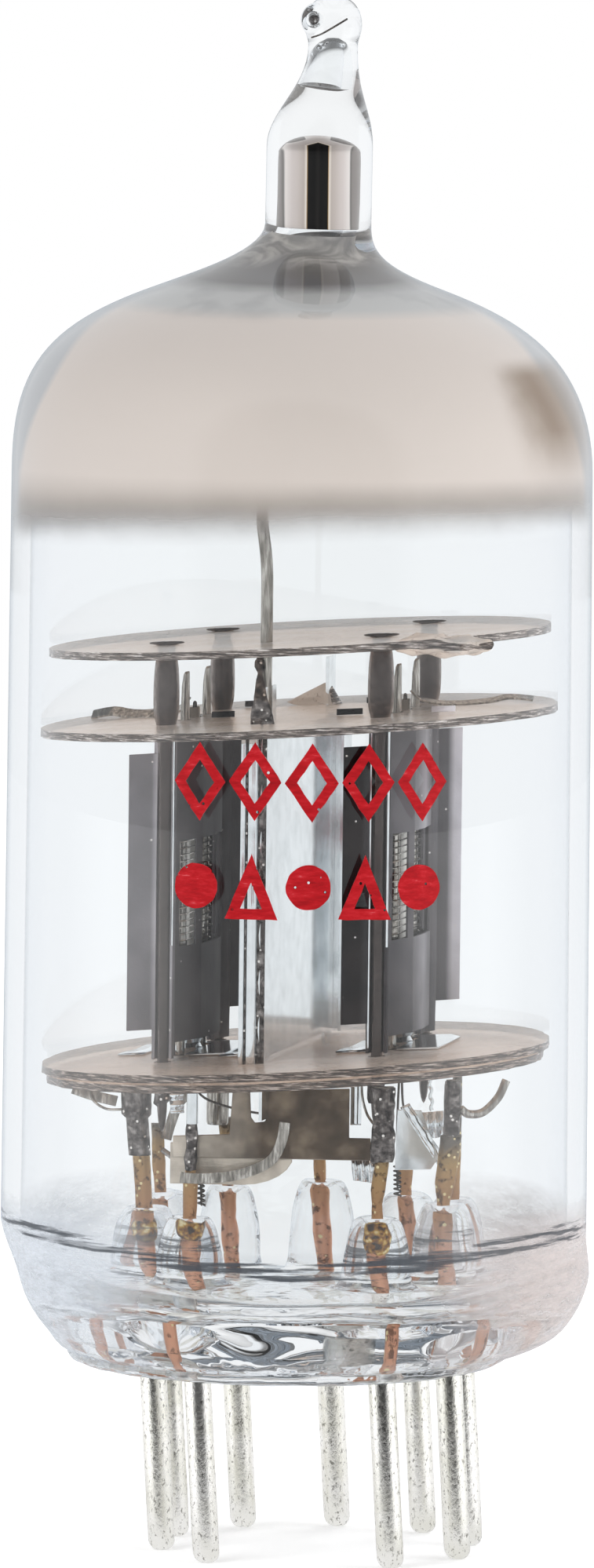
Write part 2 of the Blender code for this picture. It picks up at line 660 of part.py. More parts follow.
def anode_post(side, end, x, y):
    """Support post: squashed between the two top micas and headed over on the top one."""
    stops = [
        (CAGE_FOOT - POST_FOOT, POST_RADIUS, POST_RADIUS),
        (UPPER_FLOOR + SEAT_GAP, POST_RADIUS, POST_RADIUS),
        (UPPER_FLOOR + SEAT_GAP, 0.85 * POST_BULGE, 0.7 * POST_BULGE),
        (UPPER_FLOOR + 0.35 * TOP_SPAN, POST_BULGE, 0.8 * POST_BULGE),
        (TOP_MICA_Z - SEAT_GAP, 0.85 * POST_BULGE, 0.7 * POST_BULGE),
        (TOP_MICA_Z - SEAT_GAP, POST_RADIUS, POST_RADIUS),
        (TOP_FLOOR + SEAT_GAP, POST_RADIUS, POST_RADIUS),
        (TOP_FLOOR + SEAT_GAP, POST_HEAD_LENGTH / 2, POST_RADIUS),
        (TOP_FLOOR + SEAT_GAP + POST_HEAD_THICKNESS, POST_HEAD_LENGTH / 2, 0.7 * POST_RADIUS),
    ]
    rings = [[Vector((x + a, y + b, z)) for a, b in circle(wide, 8, deep)] for z, wide, deep in stops]
    add_piece(f"{side_name(side)}_{end_name(end)}_post", in_cage(skin(rings)), CARBON)


def half_anode_path():
    """Section of one anode half, front to rear, as (x, y, kind of the stretch that follows)."""
    flange = -(SHEET + SHEET_GAP) / 2
    post = POST_SPACING / 2
    open_angle = math.asin(-flange / LOBE_RADIUS)
    turn_start = math.pi / 2 + open_angle
    turn_step = (math.radians(LOBE_END_ANGLE) - turn_start) / LOBE_STEPS
    turns = [turn_start + turn_step * i for i in range(LOBE_STEPS + 1)]
    lobe = [(LOBE_RADIUS * math.cos(turn), LOBE_RADIUS * math.sin(turn)) for turn in turns]
    sweep_angle = math.radians(180.0 + WING_SWEEP)
    root_x, root_y = lobe[-1]
    wing_tip = (root_x + WING_LENGTH * math.cos(sweep_angle), root_y + WING_LENGTH * math.sin(sweep_angle))
    path = [(wing_tip[0], wing_tip[1] - post, "wing")]
    path += [(x, y - post, "lobe") for x, y in reversed(lobe)]
    bar = CREASE_BAR / 2
    path += [
        (flange, -ANODE_BOX_END - FLANGE_START, "flange"),
        (flange - BOX_END_STEP, -ANODE_BOX_END + BOX_END_STEP, "window"),
        (-ANODE_CREASE_WIDTH + bar, -ANODE_CREASE_Y - bar, "bar"),
        (-ANODE_CREASE_WIDTH - bar / 2, -ANODE_CREASE_Y + bar, "window"),
        (-ANODE_HALF_WIDTH, 0.0, "window"),
        (-ANODE_CREASE_WIDTH - bar / 2, ANODE_CREASE_Y - bar, "bar"),
        (-ANODE_CREASE_WIDTH + bar, ANODE_CREASE_Y + bar, "window"),
        (flange - BOX_END_STEP, ANODE_BOX_END - BOX_END_STEP, "flange"),
        (flange, ANODE_BOX_END + FLANGE_START, "lobe"),
    ]
    path += [(x, post - y, "lobe") for x, y in lobe]
    return path


def anode_half(side, turn):
    """One carbonised half: a folded sheet whose windows and stepped edges are left open."""
    middle = (CAGE_FLOOR + UPPER_MICA_Z) / 2
    levels = [
        CAGE_FLOOR + LOBE_END_GAP,
        CAGE_FLOOR + BOX_END_GAP,
        CAGE_FLOOR + WING_BOTTOM_GAP,
        middle - WINDOW_HEIGHT / 2,
        middle + WINDOW_HEIGHT / 2,
        UPPER_MICA_Z - WING_TOP_GAP,
        UPPER_MICA_Z - LOBE_END_GAP,
    ]
    open_levels = {"wing": (0, 1, 5), "lobe": (), "flange": (0,), "window": (0, 3), "bar": (0,)}
    path = half_anode_path()
    shape = bmesh.new()
    columns = [[shape.verts.new((x, y, z)) for z in levels] for x, y, _ in path]
    for i in range(len(path) - 1):
        for level in range(len(levels) - 1):
            if level not in open_levels[path[i][2]]:
                near, far = columns[i], columns[i + 1]
                shape.faces.new((near[level], far[level], far[level + 1], near[level + 1]))
    loose = [vert for vert in shape.verts if not vert.link_faces]
    bmesh.ops.delete(shape, geom=loose, context="VERTS")
    turned_about_z(shape, turn)
    moved(shape, side * TRIODE_SPACING / 2)
    half = "outer" if (turn == 0) == (side < 0) else "inner"
    piece = add_piece(f"{side_name(side)}_anode_{half}", in_cage(shape), CARBON)
    thickness = piece.modifiers.new("Sheet", "SOLIDIFY")
    thickness.thickness = SHEET
    thickness.offset = 0.0
    thickness.use_even_offset = True


def grid_rod(side, end, x, y):
    """Grid side rod with a chisel-shaped top."""
    top = UPPER_FLOOR + ROD_TOP
    stops = [
        (CAGE_FOOT - ROD_FOOT, ROD_RADIUS, 0.0),
        (top - ROD_CHISEL, ROD_RADIUS, 0.0),
        (top, 0.35 * ROD_RADIUS, 0.5 * ROD_RADIUS),
    ]
    rings = [[Vector((x + a * wide / ROD_RADIUS + lean, y + b, z)) for a, b in circle(ROD_RADIUS, 8)]
             for z, wide, lean in stops]
    add_piece(f"{side_name(side)}_{end_name(end)}_grid_rod", in_cage(skin(rings)), NICKEL)


def winding_path():
    """Helix round the two rods of a grid: a straight run on each side and a half turn at each end."""
    low = CAGE_FLOOR + WINDING_END_GAP
    high = UPPER_MICA_Z - WINDING_END_GAP
    turns = int((high - low) / WINDING_PITCH)
    reach = ROD_SPACING / 2
    angles = (0, 45, 90, 135, 180, 180, 225, 270, 315, 360)
    path = []
    for turn in range(turns):
        for i, degrees in enumerate(angles[:-1]):
            angle = math.radians(degrees)
            end = reach if i <= 4 else -reach
            share = i / (len(angles) - 1)
            height = low + (turn + share) * WINDING_PITCH
            out, along = GRID_HALF_WIDTH * math.cos(angle), GRID_HALF_WIDTH * math.sin(angle)
            path.append((out, end + along, height))
    return path


def grid_winding(side):
    """Fine grid wire wound round both rods."""
    path = [(x + side * TRIODE_SPACING / 2, y, z) for x, y, z in winding_path()]
    shape = sweep(path, circle(WIRE_RADIUS, 3), side=(0.0, 0.0, 1.0))
    add_piece(f"{side_name(side)}_grid_winding", in_cage(shape), NICKEL)


def cathode_sleeve(side):
    """Oblong nickel tube, open at both ends."""
    low, high = CAGE_FOOT - CATHODE_FOOT, UPPER_FLOOR + CATHODE_TOP
    outer = circle(CATHODE_HALF_WIDTH, 10, CATHODE_HALF_DEPTH)
    inner = circle(CATHODE_HALF_WIDTH - CATHODE_WALL, 10, CATHODE_HALF_DEPTH - CATHODE_WALL)
    shape = bmesh.new()
    loops = [[shape.verts.new((x, y, z)) for x, y in outline]
             for outline, z in ((outer, low), (outer, high), (inner, high), (inner, low))]
    for first, second in zip(loops, loops[1:] + loops[:1]):
        for i in range(len(first)):
            j = (i + 1) % len(first)
            shape.faces.new((first[i], first[j], second[j], second[i]))
    moved(shape, side * TRIODE_SPACING / 2)
    add_piece(f"{side_name(side)}_cathode", in_cage(shape), NICKEL)


def heater(side, foot_leg, lead_leg):
    """Folded heater wire in the cathode, with one leg led down to the left and one to a lead."""
    x = side * TRIODE_SPACING / 2
    low, top = CAGE_FOOT - CATHODE_FOOT, UPPER_FLOOR + CATHODE_TOP - HEATER_TOP_GAP - HEATER_HALF_SPAN
    folds = [math.radians(180.0 - 45.0 * i) for i in range(5)]
    inside = [cage_point(x, -HEATER_HALF_SPAN, low)]
    inside += [cage_point(x, HEATER_HALF_SPAN * math.cos(fold), top + HEATER_HALF_SPAN * math.sin(fold))
               for fold in folds]
    inside.append(cage_point(x, HEATER_HALF_SPAN, low))
    below = low - CATHODE_WALL
    down = smooth_path(foot_leg + [cage_point(x, -HEATER_HALF_SPAN, below)], 3)
    away = smooth_path([cage_point(x, HEATER_HALF_SPAN, below)] + lead_leg, 3)
    shape = sweep(down + inside + away, circle(HEATER_RADIUS, 5), side=(0.0, 1.0, 0.2))
    add_piece(f"{side_name(side)}_heater", shape, HEATER)


def heaters():
    """The two heaters, each with one leg by the strap and the other at a rear lead."""
    left_down = [beside(9, 0.48, 1.13, -0.06), beside(9, 0.49, 1.18, 0.15), beside(9, 0.31, 1.98, 0.4),
                 beside(9, 0.23, 3.68, 0.68)]
    left_away = [beside(5, -4.32, -4.29, 0.7), beside(5, -2.85, -2.89, 0.57), beside(5, -0.88, -0.99, 0.47),
                 beside(5, -0.34, -0.44, 0.43)]
    heater(-1, left_down, left_away)
    right_down = [beside(4, -0.37, -3.68, 0.0), beside(4, -0.33, -3.78, 0.23), beside(4, -0.27, -4.18, 0.53),
                  beside(4, -0.21, -4.88, 0.74)]
    right_away = [beside(4, -0.02, -3.88, 0.7), beside(4, 0.14, -2.28, 0.55), beside(4, 0.13, -0.58, 0.43)]
    heater(1, right_down, right_away)


def cathode_ribbon(side):
    """Thin nickel ribbon from the cathode out over the upper mica."""
    edge = TRIODE_SPACING / 2 + CATHODE_HALF_WIDTH
    reach = wall_radius(UPPER_FLOOR) - UPPER_MICA_CLEARANCE - edge
    floor = UPPER_FLOOR + RIBBON_THICKNESS / 2 + 3 * SEAT_GAP
    bends = [(0.01, 0.0, 0.5), (0.07, 0.25, 0.22), (0.235, 0.7, 0.0), (0.49, 1.3, 0.0), (0.636, 1.5, 0.12),
             (0.8, 1.6, 0.0)]
    stops = [(side * (edge + out * reach), back * BEND, floor + rise * BEND) for out, back, rise in bends]
    path = [cage_point(*stop) for stop in smooth_path(stops, 3)]
    shape = sweep(path, strip(CATHODE_RIBBON_WIDTH, RIBBON_THICKNESS), side=(0.0, 1.0, 0.0))
    add_piece(f"{side_name(side)}_cathode_ribbon", shape, NICKEL)


def base_plate(side):
    """Bright stamping on the bottom mica, slotted round the grid and the cathode."""
    (left, right), (front, rear) = BASE_PLATE_X, BASE_PLATE_Y
    half = ROD_RADIUS + BASE_SLOT_CLEARANCE
    reach = ROD_SPACING / 2 + ROD_RADIUS + BASE_SLOT_CLEARANCE
    outline = [(left, front), (-half, front), (-half, reach), (half, reach), (half, front), (right, front),
               (right, 0.6 * rear), (0.7 * right, rear), (left, rear)]
    low = CAGE_FLOOR + SEAT_GAP
    shape = moved(prism(outline, low, low + BASE_PLATE_THICKNESS), side * TRIODE_SPACING / 2)
    add_piece(f"{side_name(side)}_base_plate", in_cage(shape), NICKEL)


def getter_prongs():
    """The shield's two front tabs, one on each side of the getter wire."""
    gap = GETTER_WIRE_RADIUS + HOLE_CLEARANCE + 0.05 * MM
    y = GETTER_WIRE_AT[1]
    return [(y - gap - GETTER_PRONG, y - gap), (y + gap, y + gap + GETTER_PRONG)]


def centre_shield():
    """Folded sheet between the triodes, with hemmed edges and tabs through the micas."""
    low, high = CAGE_FLOOR + SHIELD_END_GAP, UPPER_MICA_Z - SHIELD_END_GAP
    edge, hem, deep = SHIELD_HALF_WIDTH, SHIELD_HEM, SHIELD_HEM_DEPTH
    tabs = [(FOOT_TAB, CAGE_FOOT - FOOT_TAB_DEPTH, low), (REAR_TAB, CAGE_FOOT - REAR_FOOT_DEPTH, low),
            (REAR_TAB, high, UPPER_FLOOR + REAR_TAB_TOP)]
    tabs += [(prong, high, UPPER_FLOOR + FRONT_TAB_TOP) for prong in getter_prongs()]
    flat = sorted({-edge, edge} | {y for span, _, _ in tabs for y in span})
    shape = bmesh.new()
    section = [(-hem, deep - edge), (-hem, -edge)] + [(0.0, y) for y in flat]
    section += [(hem, edge), (hem, edge - deep)]
    columns = [[shape.verts.new((x, y, z)) for z in (low, high)] for x, y in section]
    for near, far in zip(columns, columns[1:]):
        shape.faces.new((near[0], far[0], far[1], near[1]))
    for (first, last), start, end in tabs:
        level, outer = (0, start) if end <= low else (1, end)
        inside = [y for y in flat if first <= y <= last]
        tips = [shape.verts.new((0.0, y, outer)) for y in inside]
        roots = [columns[2 + flat.index(y)][level] for y in inside]
        for i in range(len(inside) - 1):
            shape.faces.new((roots[i], roots[i + 1], tips[i + 1], tips[i]))
    piece = add_piece("centre_shield", in_cage(shape), NICKEL)
    thickness = piece.modifiers.new("Sheet", "SOLIDIFY")
    thickness.thickness = SHEET
    thickness.offset = 0.0
    thickness.use_even_offset = True


def getter():
    """Support wire up through the top mica, and the open ring that it holds."""
    foot = cage_point(*GETTER_WIRE_AT, UPPER_FLOOR + GETTER_FOOT_GAP)
    straight_end = cage_point(*GETTER_WIRE_AT, TOP_FLOOR + BEND)
    ring_z = STRAIGHT_END + GETTER_RING_RISE
    rise = ring_z - straight_end.z
    kinks = [(0.0, 0.0, 0.25), (-0.2, 0.0, 0.45), (-0.15, 0.1, 0.55), (0.1, 0.7, 0.8)]
    stops = [straight_end + Vector((x * BEND, y * BEND, share * rise)) for x, y, share in kinks]
    hold = Vector((0.0, -GETTER_RING_RADIUS, ring_z - GETTER_WIRE_RADIUS - GETTER_FOOT_GAP))
    path = [foot, foot.lerp(straight_end, 0.5)] + smooth_path([straight_end] + stops + [hold], 2)
    add_piece("getter_wire", sweep(path, circle(GETTER_WIRE_RADIUS, 8)), NICKEL)
    outer, inner = GETTER_RING_RADIUS + GETTER_RING_WIDTH / 2, GETTER_RING_RADIUS - GETTER_RING_WIDTH / 2
    tall, wall = GETTER_RING_HEIGHT, SHEET
    profile = [(inner, 0.0), (outer, 0.0), (outer, tall), (outer - wall, tall), (outer - wall, wall),
               (inner + wall, wall), (inner + wall, tall), (inner, tall)]
    add_piece("getter_ring", moved(turned(profile, 20, closed=True), z=ring_z), NICKEL)


def upright_plate(name, outline, start, end, finish):
    """A flat sheet hung from start to end: outline of (share of the way along, level) corners."""
    shape = bmesh.new()
    height = CAGE_FOOT - BOSS_TOP
    verts = []
    for share, level in outline:
        place = start.lerp(end, share)
        verts.append(shape.verts.new((place.x, place.y, BOSS_TOP + level * height)))
    raised = bmesh.ops.extrude_face_region(shape, geom=[shape.faces.new(verts)])
    moving = [item for item in raised["geom"] if isinstance(item, bmesh.types.BMVert)]
    bmesh.ops.translate(shape, verts=moving, vec=(0.0, STRAP_THICKNESS, 0.0))
    add_piece(name, shape, finish)


def straps():
    """Welded sheet pieces between the leads, below the bottom micas."""
    left = beside(9, 0.0, 0.0, 0.5)
    right = beside(1, 0.0, 0.0, 0.5)
    right.y = left.y - STRAP_SKEW
    setback = Vector((0.0, STRAP_SETBACK, 0.0))
    notch = [(0.443, 0.885), (0.443, 0.68), (0.428, 0.638), (0.377, 0.628), (0.356, 0.67), (0.349, 0.885)]
    body = [(-0.063, 0.34), (0.999, 0.34), (0.999, 0.52), (0.883, 0.52), (0.883, 0.915)]
    shelf = [(0.255, 0.885), (0.24, 0.532), (-0.063, 0.511)]
    upright_plate("heater_strap", body + notch + shelf, left + setback, right + setback, STRAP)
    setback.y = CHANNEL_SETBACK
    turns = [math.radians(-90.0 + 15.0 * i) for i in range(6)]
    belly = [(0.312 + 0.275 * math.cos(turn), 0.372 + 0.255 * math.sin(turn)) for turn in turns]
    channel = [(-0.078, 0.447), (-0.078, 0.117)] + belly + [(0.587, 0.447)]
    upright_plate("heater_channel", channel, left + setback, right + setback, STRAP)
    near, far = beside(2, -1.6, 1.6, 0.45), beside(2, 0.0, 0.3, 0.45)
    sheet = [(0.0, 0.19), (0.82, 0.22), (1.0, 0.32), (0.6, 0.69), (0.05, 0.68)]
    upright_plate("right_sheet_strap", sheet, near, far, NICKEL)


def ribbon(name, stops, side):
    """A welded ribbon along a smooth route."""
    shape = sweep(smooth_path(stops, 4), strip(RIBBON_WIDTH, RIBBON_THICKNESS), side=side)
    add_piece(name, shape, NICKEL)


def ribbons():
    """Ribbons that join the leads to the straps, grids and anodes; each lies beside its own lead."""
    tap = [(3.76, -0.12, 0.64), (3.57, -0.17, 0.47), (3.08, -0.27, 0.32), (1.91, -0.37, 0.22),
           (0.7, -0.44, 0.19), (0.05, -0.4, 0.19), (-0.2, -0.12, 0.19)]
    ribbon("centre_tap_ribbon", [beside(9, *stop) for stop in tap], (1.0, 0.0, 0.0))
    left_plate = [(-2.51, 0.43, 0.81), (-1.72, 0.18, 0.76), (-0.85, 0.03, 0.72)]
    ribbon("left_plate_ribbon", [beside(8, *stop) for stop in left_plate], (0.0, 0.2, 1.0))
    left_grid = [(0.32, -0.11, 0.34), (0.54, -0.26, 0.48), (0.94, -0.41, 0.66), (1.62, -0.26, 0.77)]
    ribbon("left_grid_ribbon", [beside(7, *stop) for stop in left_grid], (1.0, 0.0, -0.2))
    right_plate = [(2.64, 0.61, 0.96), (2.3, 0.51, 0.81), (1.71, 0.31, 0.69), (1.21, 0.11, 0.68),
                   (0.92, 0.06, 0.72)]
    ribbon("right_plate_ribbon", [beside(2, *stop) for stop in right_plate], (0.3, 1.0, 0.0))


def main():
    """Build every piece of the tube."""
    clear_scene()
    glass_bulb()
    glass_stem()
    for number in range(1, PIN_COUNT + 1):
        pin(number)
    all_leads()
    micas()
    for side, end, x, y in post_places():
        anode_post(side, end, x, y)
    for side, end, x, y in rod_places():
        grid_rod(side, end, x, y)
    for side in (-1, 1):
        anode_half(side, 0)
        anode_half(side, 180)
        grid_winding(side)
        cathode_sleeve(side)
        cathode_ribbon(side)
        base_plate(side)
    heaters()
    centre_shield()
    getter()
    straps()
    ribbons()


main()
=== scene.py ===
"""Looks of the miniature vacuum tube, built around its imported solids."""

import math
import random

import bmesh
import bpy
from mathutils import Matrix, Vector, noise
from mathutils.geometry import interpolate_bezier


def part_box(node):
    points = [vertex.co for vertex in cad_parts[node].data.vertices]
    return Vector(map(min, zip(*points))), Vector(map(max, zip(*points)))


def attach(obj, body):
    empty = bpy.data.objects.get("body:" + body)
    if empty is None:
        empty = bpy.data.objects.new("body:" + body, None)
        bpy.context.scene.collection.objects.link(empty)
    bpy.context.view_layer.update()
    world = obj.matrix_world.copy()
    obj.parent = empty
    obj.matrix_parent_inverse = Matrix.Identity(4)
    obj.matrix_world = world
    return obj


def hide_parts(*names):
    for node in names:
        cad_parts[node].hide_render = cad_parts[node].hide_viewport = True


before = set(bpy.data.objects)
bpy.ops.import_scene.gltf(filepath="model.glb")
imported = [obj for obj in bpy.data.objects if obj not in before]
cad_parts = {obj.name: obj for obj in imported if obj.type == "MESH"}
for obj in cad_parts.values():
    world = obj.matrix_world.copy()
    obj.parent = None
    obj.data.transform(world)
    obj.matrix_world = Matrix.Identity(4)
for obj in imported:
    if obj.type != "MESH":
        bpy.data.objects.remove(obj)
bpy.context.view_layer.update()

bl_info = {
    "name": "Miniature vacuum tube",
    "version": (1, 0, 0),
    "blender": (4, 5, 0),
    "location": "View3D > Sidebar > Tube",
    "description": "Builds the glass, the electrodes and the finishes of a miniature double triode",
    "category": "Add Mesh",
}

MM = 0.001
# Vector noise is seeded by the clock unless a seed is set
NOISE_SEED = 7
noise.seed_set(NOISE_SEED)

# Heights of the glass, counted up from the face that the pins leave
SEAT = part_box("glass_stem")[0].z
BOSS_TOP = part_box("glass_stem")[1].z
TUBE_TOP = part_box("glass_bulb")[1].z
STEM_FLOOR = SEAT + 2.8 * MM
STRAIGHT_START = SEAT + 5.4 * MM
STRAIGHT_END = STRAIGHT_START + 28.4 * MM
SHOULDER_END = STRAIGHT_END + 7.0 * MM
NECK_START = SHOULDER_END + 2.4 * MM
NECK_END = NECK_START + 2.9 * MM
DROP_START = TUBE_TOP - 1.9 * MM
# The dark speck in the drop's bubble: right, back, up
SPECK_PLACE = (0.3 * MM, -0.45 * MM, DROP_START + 0.95 * MM)

# Radii of the glass
BULB_RADIUS = 11.12 * MM
SHOULDER_RADIUS = 10.97 * MM
SHOULDER_END_RADIUS = 5.33 * MM
NECK_RADIUS = 2.0 * MM
NECK_BORE = 1.0 * MM
TIP_RADIUS = 0.93 * MM
DROP_RADIUS = 1.08 * MM
GLASS_WALL = 0.75 * MM
SEAM_RADIUS = 8.4 * MM
STEM_FLAT_RADIUS = 7.05 * MM
BOSS_RADIUS = 1.35 * MM
BOSS_SHIFT = 0.29 * MM
PIN_CIRCLE_RADIUS = 5.945 * MM
PIN_COUNT = 9
FIRST_PIN_ANGLE = 298.0
PIN_STEP = 36.0
PIN_LEAN = 3.4
PIN_SHIFT = 1.0 * MM

# The inner leads above the glass, in mm: height, place to the right and back of the pin's line, half
# width and half depth
LEAD_STOPS = {
    1: [(13.2, 0.08, -0.05, 0.22, 0.22), (13.8, 0.1, -0.1, 0.19, 0.19), (14.3, 0.16, -0.13, 0.27, 0.24),
        (15.4, 0.37, -0.25, 0.26, 0.2), (18.2, 0.54, -0.25, 0.4, 0.14)],
    2: [(13.6, 0.05, 0.0, 0.24, 0.22), (14.3, 0.15, 0.0, 0.38, 0.25), (16.1, 0.47, 0.0, 0.4, 0.2),
        (16.14, 0.48, 0.0, 0.27, 0.2), (18.2, 0.64, 0.0, 0.26, 0.2)],
    3: [(13.4, 0.05, 0.0, 0.22, 0.22), (15.2, 0.2, 0.0, 0.22, 0.22), (18.2, 0.43, 0.0, 0.18, 0.22)],
    4: [(13.3, 0.0, 0.0, 0.22, 0.22), (14.3, 0.03, 0.0, 0.34, 0.22), (15.48, 0.09, 0.0, 0.3, 0.2)],
    5: [(12.9, 0.0, 0.0, 0.24, 0.24), (13.2, 0.0, 0.0, 0.14, 0.16), (13.5, -0.01, 0.0, 0.24, 0.24),
        (16.0, 0.02, 0.0, 0.25, 0.22)],
    6: [(13.3, 0.0, 0.0, 0.22, 0.22), (14.3, 0.05, 0.0, 0.28, 0.22), (15.9, 0.04, -0.05, 0.28, 0.2)],
    7: [(13.3, 0.0, 0.0, 0.22, 0.22), (14.3, -0.02, 0.0, 0.26, 0.16), (15.9, 0.01, 0.0, 0.24, 0.14)],
    8: [(12.6, 0.0, 0.0, 0.24, 0.24), (13.1, 0.0, 0.0, 0.32, 0.29), (15.1, -0.03, 0.0, 0.33, 0.28),
        (17.8, -0.08, 0.0, 0.33, 0.28)],
    9: [(13.0, 0.04, 0.0, 0.25, 0.24), (14.4, 0.14, 0.0, 0.28, 0.25), (14.6, 0.15, 0.0, 0.2, 0.19),
        (17.85, 0.39, 0.0, 0.17, 0.15)],
}
# Sleeves crimped on the leads: name, lead, then the same columns
LEAD_SLEEVES = [
    ("lead_1_sleeve", 1, 0.07, [(15.35, 0.37, -0.25, 0.38, 0.22), (15.7, 0.4, -0.25, 0.46, 0.22),
                                (16.5, 0.45, -0.25, 0.44, 0.2), (17.1, 0.5, -0.25, 0.37, 0.24),
                                (17.6, 0.52, -0.25, 0.45, 0.2), (18.15, 0.54, -0.25, 0.44, 0.18)]),
    ("lead_8_sleeve", 8, 0.015, [(15.05, -0.08, 0.0, 0.42, 0.31), (16.52, -0.12, 0.0, 0.43, 0.31)]),
    ("lead_8_collar", 8, 0.03, [(16.5, -0.13, 0.0, 0.47, 0.35), (16.62, -0.13, 0.0, 0.56, 0.4),
                                (17.5, -0.1, 0.0, 0.58, 0.4), (17.62, -0.09, 0.0, 0.52, 0.36),
                                (17.8, -0.08, 0.0, 0.46, 0.33)]),
    ("lead_9_twist", 9, 0.05, [(14.85, 0.17, 0.0, 0.2, 0.2), (15.3, 0.2, 0.0, 0.26, 0.23),
                               (15.76, 0.24, 0.0, 0.2, 0.2),
                               (16.2, 0.28, 0.0, 0.24, 0.22), (16.62, 0.31, 0.0, 0.2, 0.19)]),
    ("lead_2_sleeve", 2, 0.03, [(16.1, 0.47, 0.0, 0.3, 0.24), (17.2, 0.56, 0.0, 0.31, 0.25),
                                (18.15, 0.63, 0.0, 0.3, 0.24)]),
]
# Beads of seal glass on the leads: lead, height, shift to the right, radius and half height (mm)
LEAD_BEADS = [(8, 12.3, 0.0, 0.33, 0.45), (9, 12.7, 0.06, 0.36, 0.5), (1, 12.5, 0.05, 0.34, 0.75),
              (5, 13.25, 0.0, 0.2, 0.14),
              (6, 13.6, 0.02, 0.26, 0.2)]

# The cage is turned about the upright axis and racked so that its micas rise to the right
CAGE_TURN = math.radians(-14.0)
CAGE_RACK = math.tan(math.radians(3.6))
SIDES = ("left", "right")
ENDS = ("front", "rear")
FILM_GAP = 0.02 * MM
MERGE_DISTANCE = 1e-7
ROUND = 0.6
SHEET_ANGLE = 30.0
# Height of the bottom mica's upper face at the axis, in mm
MICA_FLOOR = 19.1


def linear(colour, alpha=1.0):
    """Turn an sRGB hex value into the linear colour that shaders use."""
    parts = [int(colour[i:i + 2], 16) / 255.0 for i in (1, 3, 5)]
    return tuple([c / 12.92 if c <= 0.04045 else ((c + 0.055) / 1.055) ** 2.4 for c in parts] + [alpha])


def add_node(tree, kind, inputs=None, **settings):
    """Add one shader node. Its inputs are outputs to link to, hex colours or plain values."""
    made = tree.nodes.new("ShaderNode" + kind)
    for name, value in settings.items():
        setattr(made, name, value)
    for key, term in (inputs or {}).items():
        if isinstance(term, bpy.types.NodeSocket):
            tree.links.new(term, made.inputs[key])
        else:
            made.inputs[key].default_value = linear(term) if isinstance(term, str) else term
    return made


def calc(tree, operation, *terms):
    """The result of a sum on one to three terms."""
    return add_node(tree, "Math", dict(enumerate(terms)), operation=operation).outputs[0]


def product(tree, first, *others):
    """Several values multiplied with each other."""
    for other in others:
        first = calc(tree, "MULTIPLY", first, other)
    return first


def ranged(tree, source, low, high, to_low=0.0, to_high=1.0, kind="LINEAR"):
    """A value, carried over from the range between low and high to another one."""
    inputs = {"Value": source, "From Min": low, "From Max": high, "To Min": to_low, "To Max": to_high}
    return add_node(tree, "MapRange", inputs, interpolation_type=kind).outputs[0]


def clouds(tree, place, size, detail, roughness=0.5, distortion=0.0):
    """Noise with clouds of about a size in millimetres."""
    inputs = {"Vector": place, "Scale": 1.0 / (size * MM), "Detail": detail, "Roughness": roughness,
              "Distortion": distortion}
    return add_node(tree, "TexNoise", inputs).outputs["Fac"]


def dots(tree, place, size):
    """Small round dots, one to each cell of a size in millimetres."""
    cells = add_node(tree, "TexVoronoi", {"Vector": place, "Scale": 1.0 / (size * MM)})
    return ranged(tree, cells.outputs["Distance"], 0.2, 0.14)


def ramp(tree, source, *stops):
    """A value turned into a colour, by stops of (position, hex colour)."""
    made = add_node(tree, "ValToRGB", {"Fac": source})
    elements = made.color_ramp.elements
    while len(elements) < len(stops):
        elements.new(1.0)
    for element, (position, colour) in zip(elements, stops):
        element.position = position
        element.color = linear(colour)
    return made.outputs[0]


def mixed(tree, share, first, second, blend="MIX"):
    """Two colours mixed. The share is the second one's."""
    inputs = {0: share, 6: first, 7: second}
    return add_node(tree, "Mix", inputs, data_type="RGBA", blend_type=blend).outputs[2]


def blended(tree, share, first, second):
    """Two shaders mixed. The share is the second one's."""
    return add_node(tree, "MixShader", {0: share, 1: first, 2: second}).outputs[0]


def split(tree, place):
    """The X, Y and Z of a place."""
    return add_node(tree, "SeparateXYZ", {0: place}).outputs


def laid(tree, place, scale=(1.0, 1.0, 1.0), turn=(0.0, 0.0, 0.0)):
    """Places stretched and turned, for a pattern that runs in one direction."""
    return add_node(tree, "Mapping", {"Vector": place, "Scale": scale, "Rotation": turn}).outputs[0]


def embossed(tree, shader, height, strength, distance):
    """Let a pattern raise and sink a shader's surface, by a distance in millimetres."""
    bump = add_node(tree, "Bump", {"Height": height, "Strength": strength, "Distance": distance * MM})
    tree.links.new(bump.outputs[0], shader.inputs["Normal"])


def cleared(owner):
    """The empty shader tree of a new material or world."""
    owner.use_nodes = True
    owner.node_tree.nodes.clear()
    return owner.node_tree


def start_finish(name, **values):
    """A new material with one Principled shader, and the object coordinates that its patterns read."""
    made = bpy.data.materials.new(name)
    tree = cleared(made)
    sockets = {key.replace("_", " "): value for key, value in values.items()}
    shader = add_node(tree, "BsdfPrincipled", sockets)
    place = add_node(tree, "TexCoord").outputs["Object"]
    add_node(tree, "OutputMaterial", {"Surface": shader.outputs[0]})
    return made, tree, shader, place


def let_light_through(tree, surface, tint):
    """Shadow and diffuse rays cross the piece straight, so that the lamps reach what is inside."""
    path = add_node(tree, "LightPath")
    either = calc(tree, "MAXIMUM", path.outputs["Is Shadow Ray"], path.outputs["Is Diffuse Ray"])
    clear = add_node(tree, "BsdfTransparent", {"Color": tint})
    mix = blended(tree, either, surface, clear.outputs[0])
    output = next(item for item in tree.nodes if item.type == "OUTPUT_MATERIAL")
    tree.links.new(mix, output.inputs["Surface"])


